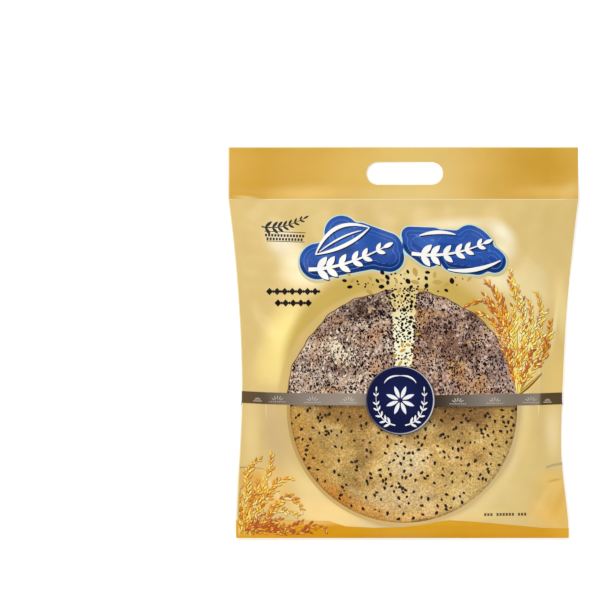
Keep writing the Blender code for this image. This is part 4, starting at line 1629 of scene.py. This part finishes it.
LEFT_EARS = (
    ((-144, -117), (-158, -122), (-157, -146), 4.0, 1),
    ((-132, -110), (-132, -134), (-148, -158), 4.0, 1),
    ((-112, -136), (-128, -134), (-140, -158), 4.5, 1),
    ((-128, -147), (-136, -152), (-146, -166), 3.5, 1),
    ((-160, -130), (-153, -136), (-155, -160), 3.5, 1),
    ((-101, -168), (-112, -144), (-134, -166), 4.0, 1),
    ((-106, -174), (-122, -162), (-138, -174), 3.5, 2),
    ((-116, -152), (-122, -160), (-136, -172), 3.5, 1),
    ((-163, -146), (-165, -158), (-163, -178), 3.5, 0),
    ((-156, -140), (-160, -156), (-159, -178), 3.5, 2),
    ((-146, -138), (-147, -156), (-153, -178), 4.0, 1),
    ((-136, -156), (-142, -160), (-149, -182), 4.0, 2),
    ((-130, -168), (-136, -176), (-146, -186), 4.0, 0),
    ((-124, -177), (-134, -180), (-148, -188), 4.0, 3),
    ((-142, -172), (-148, -180), (-158, -188), 4.0, 3),
    ((-134, -181), (-142, -186), (-154, -189), 3.5, 3),
    ((-102, -180), (-110, -182), (-119, -190), 3.5, 3),
    ((-78, -187), (-92, -179), (-104, -190), 3.5, 3),
    ((-118, -184), (-126, -186), (-136, -190), 3.0, 3),
    ((-128, -188), (-138, -190), (-148, -191), 2.5, 3),
    ((-146, -180), (-152, -184), (-160, -190), 3.5, 3),
    ((-112, -190), (-118, -190), (-128, -192), 2.0, 3),
    ((-94, -189), (-102, -190), (-112, -192), 2.0, 3),
    ((-150, -150), (-154, -160), (-158, -180), 3.5, 0),
    ((-139, -146), (-144, -156), (-150, -172), 3.5, 1),
    ((-164, -160), (-165, -170), (-163, -186), 2.5, 0),
    ((-124, -160), (-130, -166), (-140, -178), 3.0, 1),
    ((-163, -170), (-164, -180), (-162, -192), 3.0, 1),
    ((-156, -176), (-158, -184), (-156, -193), 3.0, 0),
    ((-149, -182), (-151, -187), (-150, -193), 2.5, 0),
)


def grain_of(shapes, x, y, size, turn, tone, draw):
    """One grain: a dark edge on its shaded side, its fill, and on some a pale streak along the upper side."""
    long = size * draw.uniform(0.78, 1.18)
    wide = long * draw.uniform(0.33, 0.43)
    if x < left_edge(y) + 0.6 * long or x > right_edge(y) - 0.6 * long or y < FOOT + 0.5 * long:
        return
    level = 0.03 * (shapes.shapes // 2 % 12)
    shapes.layer = level
    shapes.petal(x + 0.2, y - 0.32, long + 0.25, wide + 0.25, turn, 0, 0.85, 4)
    shapes.layer = level + 0.016
    shapes.petal(x, y, long, wide, turn, tone, 0.85, 4)
    if draw.random() < 0.28:
        shapes.layer = level + 0.024
        x, y = x - 0.14 * wide * math.sin(turn), y + 0.14 * wide * math.cos(turn)
        shapes.petal(x, y, long * 0.7, wide * 0.4, turn, 6, 0.8, 3)
    shapes.layer = 0.0


def stem_of(shapes, path, width, ink=1):
    """A stem or blade with a brown outline, kept inside the pack's sides."""
    path[:, 0] = np.clip(path[:, 0], left_edge(path[:, 1]) + 1.6, right_edge(path[:, 1]) - 1.6)
    taper = np.sin(np.linspace(0.5, 2.9, len(path)))
    shapes.stroke(path, (width + 0.5) * taper, 0)
    shapes.layer = 0.016
    shapes.stroke(path, width * taper, ink)
    shapes.layer = 0.0


def rice_ear(shapes, tip, bend, foot, spread, tones, size, draw):
    """The seeded head of one ear: side stems in turn to left and right, set with overlapping grains."""
    path = curve(foot, bend, tip, 60)
    stem_of(shapes, path.copy(), 0.7)
    run = np.gradient(path, axis=0)
    along = np.cumsum(np.hypot(run[:, 0], run[:, 1]))
    node, side = 1.0, 1
    while node < along[-1]:
        share = node / along[-1]
        spot = min(int(np.searchsorted(along, node)), 59)
        heading = math.atan2(run[spot][1], run[spot][0])
        lean = heading + side * draw.uniform(0.35, 0.8)
        reach = spread * (0.25 + 0.75 * math.sin(math.pi * share**0.75)) * draw.uniform(0.7, 1.2)
        for out in np.arange(0.2, reach, 3.3):
            turn = lean - side * draw.uniform(-0.1, 0.35)
            x = path[spot][0] + out * math.cos(lean) + 0.42 * size * math.cos(turn)
            y = path[spot][1] + out * math.sin(lean) + 0.42 * size * math.sin(turn)
            grain_of(shapes, x, y, size, turn, draw.choice(tones[side < 0]), draw)
        node += draw.uniform(1.9, 2.8)
        side = -side


class CRACKER_PACK_OT_rice_ears(bpy.types.Operator):
    """Prints the two bunches of rice ears"""

    bl_idname = "cracker_pack.rice_ears"
    bl_label = "Rice ears"

    def execute(self, context):
        size = context.scene.pack_sizes.grain / MM
        draw = random.Random(17)
        right, left = Cutout(), Cutout()
        for k in range(9):
            tip = (107 + 3.2 * k, 22 - 5.0 * abs(k - 3.5))
            stem_of(right, curve((113 + 0.3 * k, -51), (110 + 1.6 * k, -26), tip, 24), 1.3, STEM_INKS[k % 3])
        for foot in ((103, 4), (131, -27), (124, -2), (129, 10), (134, 22), (138, -10)):
            start, bend = (114 + 0.08 * (foot[0] - 118), -51), (foot[0] * 0.5 + 57, -30)
            stem_of(right, curve(start, bend, foot, 20), 0.9)
        leaf = curve((116, -51), (122, -46), (138, -31), 16)
        right.stroke(leaf, 3.6 * np.sin(np.linspace(0.4, 2.9, 16)))
        stem_of(right, leaf + np.array((-0.3, 0.4)), 1.8)
        for k in range(8):
            x = draw.uniform(-166, -142)
            tip = (x + draw.uniform(-2, 9), draw.uniform(-166, -146))
            stem_of(left, curve((x, FOOT + 2.5), (x - 1, -176), tip, 20), 1.5, STEM_INKS[k % 3])
        for side, shapes, ears in (("right", right, RIGHT_EARS), ("left", left, LEFT_EARS)):
            for tip, bend, foot, spread, tones in ears:
                rice_ear(shapes, tip, bend, foot, spread, EAR_TONES[tones], size, draw)
            inks = [
                film_print("%s ear print %d" % (side, k), code, mottle=0.1)
                for k, code in enumerate(EAR_INKS[side])
            ]
            print_on_front("printed_ears_" + side, shapes, *inks)
        return {"FINISHED"}


class CRACKER_PACK_OT_small_print(bpy.types.Operator):
    """Prints the plain rows of marks and the small sprig in the corner"""

    bl_idname = "cracker_pack.small_print"
    bl_label = "Small print"

    def execute(self, context):
        marks = Cutout()
        for low, high, level in ((-136.5, -82, 51), (-128, -90.5, 39.5)):
            for x in np.arange(low + 2.5, high, 7.6):
                marks.petal(x, level, 7.4, 7.0, math.pi / 2, steps=2)
                if x + 5 < high:
                    marks.petal(x + 3.8, level, 3.4, 3.2, math.pi / 2, steps=2)
        print_on_front("printed_marks", marks, film_print("printed mark black", "1c170f", gloss=0.1))
        corner = Cutout()
        sprig(corner, (-142, 116), (-122, 112), (-100, 124), 7, 9.5, 3.2, 1.3)
        corner.bar(-139, 111.4, -98, 109.8, 0.6)
        for count, start, level in ((13, -138.5, 107.6), (12, -137, 103.9)):
            for k in range(count):
                x, y = start + 3.1 * k, level - 0.1 * k
                corner.bar(x, y, x + 2, y - 0.1, 2.6)
        corner.bar(-137, 101.6, -99, 100.4, 0.6)
        brown = film_print("printed sprig brown", "35312c", gloss=0.1)
        print_on_front("printed_corner_sprig", corner, brown)
        weight = Cutout()
        for k in (0, 1, 2, 4, 5, 6, 7, 8, 9, 11, 12, 13):
            weight.bar(80.6 + 3.1 * k, -172, 82.7 + 3.1 * k, -172, 2.8)
        print_on_front("printed_small_marks", weight, film_print("printed small mark", "5f4e30"))
        return {"FINISHED"}


def rail(x, y):
    """Distance to the line along the back's band and round its arch, kept inside the sides."""
    over_arch = np.maximum(circle(x, y, ARCH[0], ARCH[1], ARCH[2] + 2), BAND_Y - y)
    line = np.minimum(np.abs(y - BAND_Y) - 2.0, over_arch)
    return np.maximum(line, np.maximum(left_edge(y) - x, x - right_edge(y)) + 0.5)


class CRACKER_PACK_OT_back_print(bpy.types.Operator):
    """Prints the arch plate, band, label and bars on the back"""

    bl_idname = "cracker_pack.back_print"
    bl_label = "Back print"

    def execute(self, context):
        band = Cutout()
        y = FOOT + (BAND_Y - 1 - FOOT) * np.repeat(np.linspace(0, 1, 26)[:, None], 130, axis=1)
        left, right = left_edge(y), right_edge(y)
        x = left + (right - left) * np.linspace(0, 1, 130)
        band.region(x, y, x * 0 - 1.0)
        gold = film_print("printed back band", "e0b03e", [(0, -126, 180, 22, 0, "e6cf9a", 0.9, 0.9)])
        print_on_back("printed_back_band", band, gold)
        line = Cutout()
        line.patch((-160, -126), (160, -82), 1.5, rail)
        print_on_back("printed_back_rail", line, film_print("printed rail brown", "a6894f"))
        plate = Cutout()
        plate.patch((-42, -160), (42, -84), 1.5, lambda x, y: circle(x, y, ARCH[0], ARCH[1], ARCH[2] - 2.5))
        beige = film_print("printed arch beige", "c9b27a", [(0, -120, 40, 34, 0, "e3d09c", 0.9, 1.0)])
        print_on_back("printed_arch", plate, beige)
        marks = Cutout()
        sprig(marks, (20, -112), (4, -118), (-20, -106), 6, 9.5, 2.8, 1.0)
        marks.bar(-24, -121, 24, -121, 0.8)
        for level, reach in ((-125, 24), (-130, 20)):
            for x in np.arange(-reach, reach, 3.1):
                marks.bar(x, level, x + 1.8, level, 2.4)
        for row in range(7):
            for x in np.arange(-84 + 3 * (row % 2), -18, 4.2):
                marks.bar(x, -142 - 6.2 * row, x + 2.9, -142 - 6.2 * row, 1.7)
        print_on_back("printed_back_marks", marks, film_print("printed back mark", "5b4a2c"))
        label = Cutout()
        label.patch((36, -193), (147, -130), 2.5, lambda x, y: x * 0 - 1.0)
        print_on_back("printed_label", label, film_print("printed label white", "fdfdfb", mottle=0.01))
        text = Cutout()
        for x0, y0, x1, y1, width in (
            (104, -136, 143, -136, 0.7),
            (104, -136, 143, -136, 0.7),
            (103.5, -191, 103.5, -136, 0.6),
            (143.5, -191, 143.5, -136, 0.6),
            (103.5, -191, 143.5, -191, 0.7),
        ):
            text.bar(x0, y0, x1, y1, width)
        for row in range(15):
            level = -139.5 - 3.4 * row
            text.bar(106, level, 106 + 12 + 9 * ((row * 5) % 7) / 6, level, 1.5)
            text.bar(134, level, 141, level, 1.5)
        for row in range(6):
            level = -138 - 4.0 * row
            for x in np.arange(44, 96 - 6 * (row % 3), 4.4):
                text.bar(x, level, x + 3.0, level, 1.7)
        draw = random.Random(3)
        x = 52.0
        while x < 78:
            wide = draw.choice((0.6, 0.9, 1.4))
            text.bar(x, -184, x, -171, wide)
            x += wide + draw.choice((0.7, 1.0, 1.5))
        print_on_back("printed_label_marks", text, film_print("printed label black", "2a2622"))
        ends = Cutout()
        for side in (-1, 1):
            edge = float(left_edge(-57.0) if side < 0 else right_edge(-57.0))
            path = np.column_stack([np.linspace(edge, edge - side * 16, 8), np.linspace(-57, -59, 8)])
            ends.stroke(path if side < 0 else path[::-1], 11.5)
        print_on_back("printed_back_ribbon_ends", ends, film_print("printed ribbon end", "8f8d88"))
        return {"FINISHED"}


class CRACKER_PACK_OT_stage(bpy.types.Operator):
    """Lays the pale floor and sets up the light and the camera"""

    bl_idname = "cracker_pack.stage"
    bl_label = "Stage"

    def execute(self, context):
        scene = context.scene
        settings = scene.stage_settings
        corners = [(x * FLOOR_REACH, y * FLOOR_REACH, 0) for x, y in ((-1, -1), (1, -1), (1, 1), (-1, 1))]
        mesh = made_mesh("floor", corners, [(0, 1, 2, 3)], [0], [studio_floor("white board")])
        floor = bpy.data.objects.new("floor", mesh)
        scene.collection.objects.link(floor)
        world = bpy.data.worlds.new("studio")
        world.use_nodes = True
        sky = world.node_tree.nodes["Background"]
        sky.inputs["Color"].default_value = (1, 1, 1, 1)
        sky.inputs["Strength"].default_value = settings.sky
        scene.world = world
        for name, power, size, spot, code in (
            ("key_light", settings.key, 1.0, (-0.7, 1.0, 1.7), "fffcf6"),
            ("fill_light", settings.fill, 1.4, (0.7, -1.5, 1.3), "fbfcff"),
        ):
            data = bpy.data.lights.new(name, "AREA")
            data.energy = power
            data.size = size
            data.color = rgb(code)
            light = bpy.data.objects.new(name, data)
            light.location = spot
            light.rotation_mode = "QUATERNION"
            light.rotation_quaternion = (-light.location).to_track_quat("-Z", "Y")
            light.visible_camera = False
            scene.collection.objects.link(light)
        lens = bpy.data.cameras.new("camera")
        lens.lens = settings.lens
        lens.sensor_width = 36.0
        camera = bpy.data.objects.new("camera", lens)
        camera.location = (*CAMERA_OVER, CAMERA_FROM_Z + settings.distance)
        scene.collection.objects.link(camera)
        scene.camera = camera
        scene.view_settings.view_transform = "Standard"
        return {"FINISHED"}


GROUPS = (
    ("pack_sizes", PackSizes),
    ("print_colours", PrintColours),
    ("cracker_settings", CrackerSettings),
    ("stage_settings", StageSettings),
)
OPERATORS = (
    CRACKER_PACK_OT_front_film,
    CRACKER_PACK_OT_back_film,
    CRACKER_PACK_OT_tray,
    CRACKER_PACK_OT_crackers,
    CRACKER_PACK_OT_seeds,
    CRACKER_PACK_OT_printed_disc,
    CRACKER_PACK_OT_ribbon,
    CRACKER_PACK_OT_badge,
    CRACKER_PACK_OT_roundel,
    CRACKER_PACK_OT_rice_ears,
    CRACKER_PACK_OT_small_print,
    CRACKER_PACK_OT_back_print,
    CRACKER_PACK_OT_stage,
)


class CRACKER_PACK_PT_pieces(bpy.types.Panel):
    """Lists the pack's pieces, each with a button that makes it"""

    bl_idname = "CRACKER_PACK_PT_pieces"
    bl_label = "Cracker Pack"
    bl_space_type = "VIEW_3D"
    bl_region_type = "UI"
    bl_category = "Cracker Pack"

    def draw(self, context):
        for operator in OPERATORS:
            self.layout.operator(operator.bl_idname)
        for name, group in GROUPS:
            box = self.layout.box()
            for field in group.__annotations__:
                box.prop(getattr(context.scene, name), field)


def register():
    for name, group in GROUPS:
        bpy.utils.register_class(group)
        setattr(bpy.types.Scene, name, PointerProperty(type=group))
    for operator in OPERATORS:
        bpy.utils.register_class(operator)
    bpy.utils.register_class(CRACKER_PACK_PT_pieces)


def unregister():
    bpy.utils.unregister_class(CRACKER_PACK_PT_pieces)
    for operator in reversed(OPERATORS):
        bpy.utils.unregister_class(operator)
    for name, group in reversed(GROUPS):
        delattr(bpy.types.Scene, name)
        bpy.utils.unregister_class(group)


def main():
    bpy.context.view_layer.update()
    register()
    for operator in OPERATORS:
        section, name = operator.bl_idname.split(".")
        getattr(getattr(bpy.ops, section), name)()


if __name__ == "__main__":
    main()
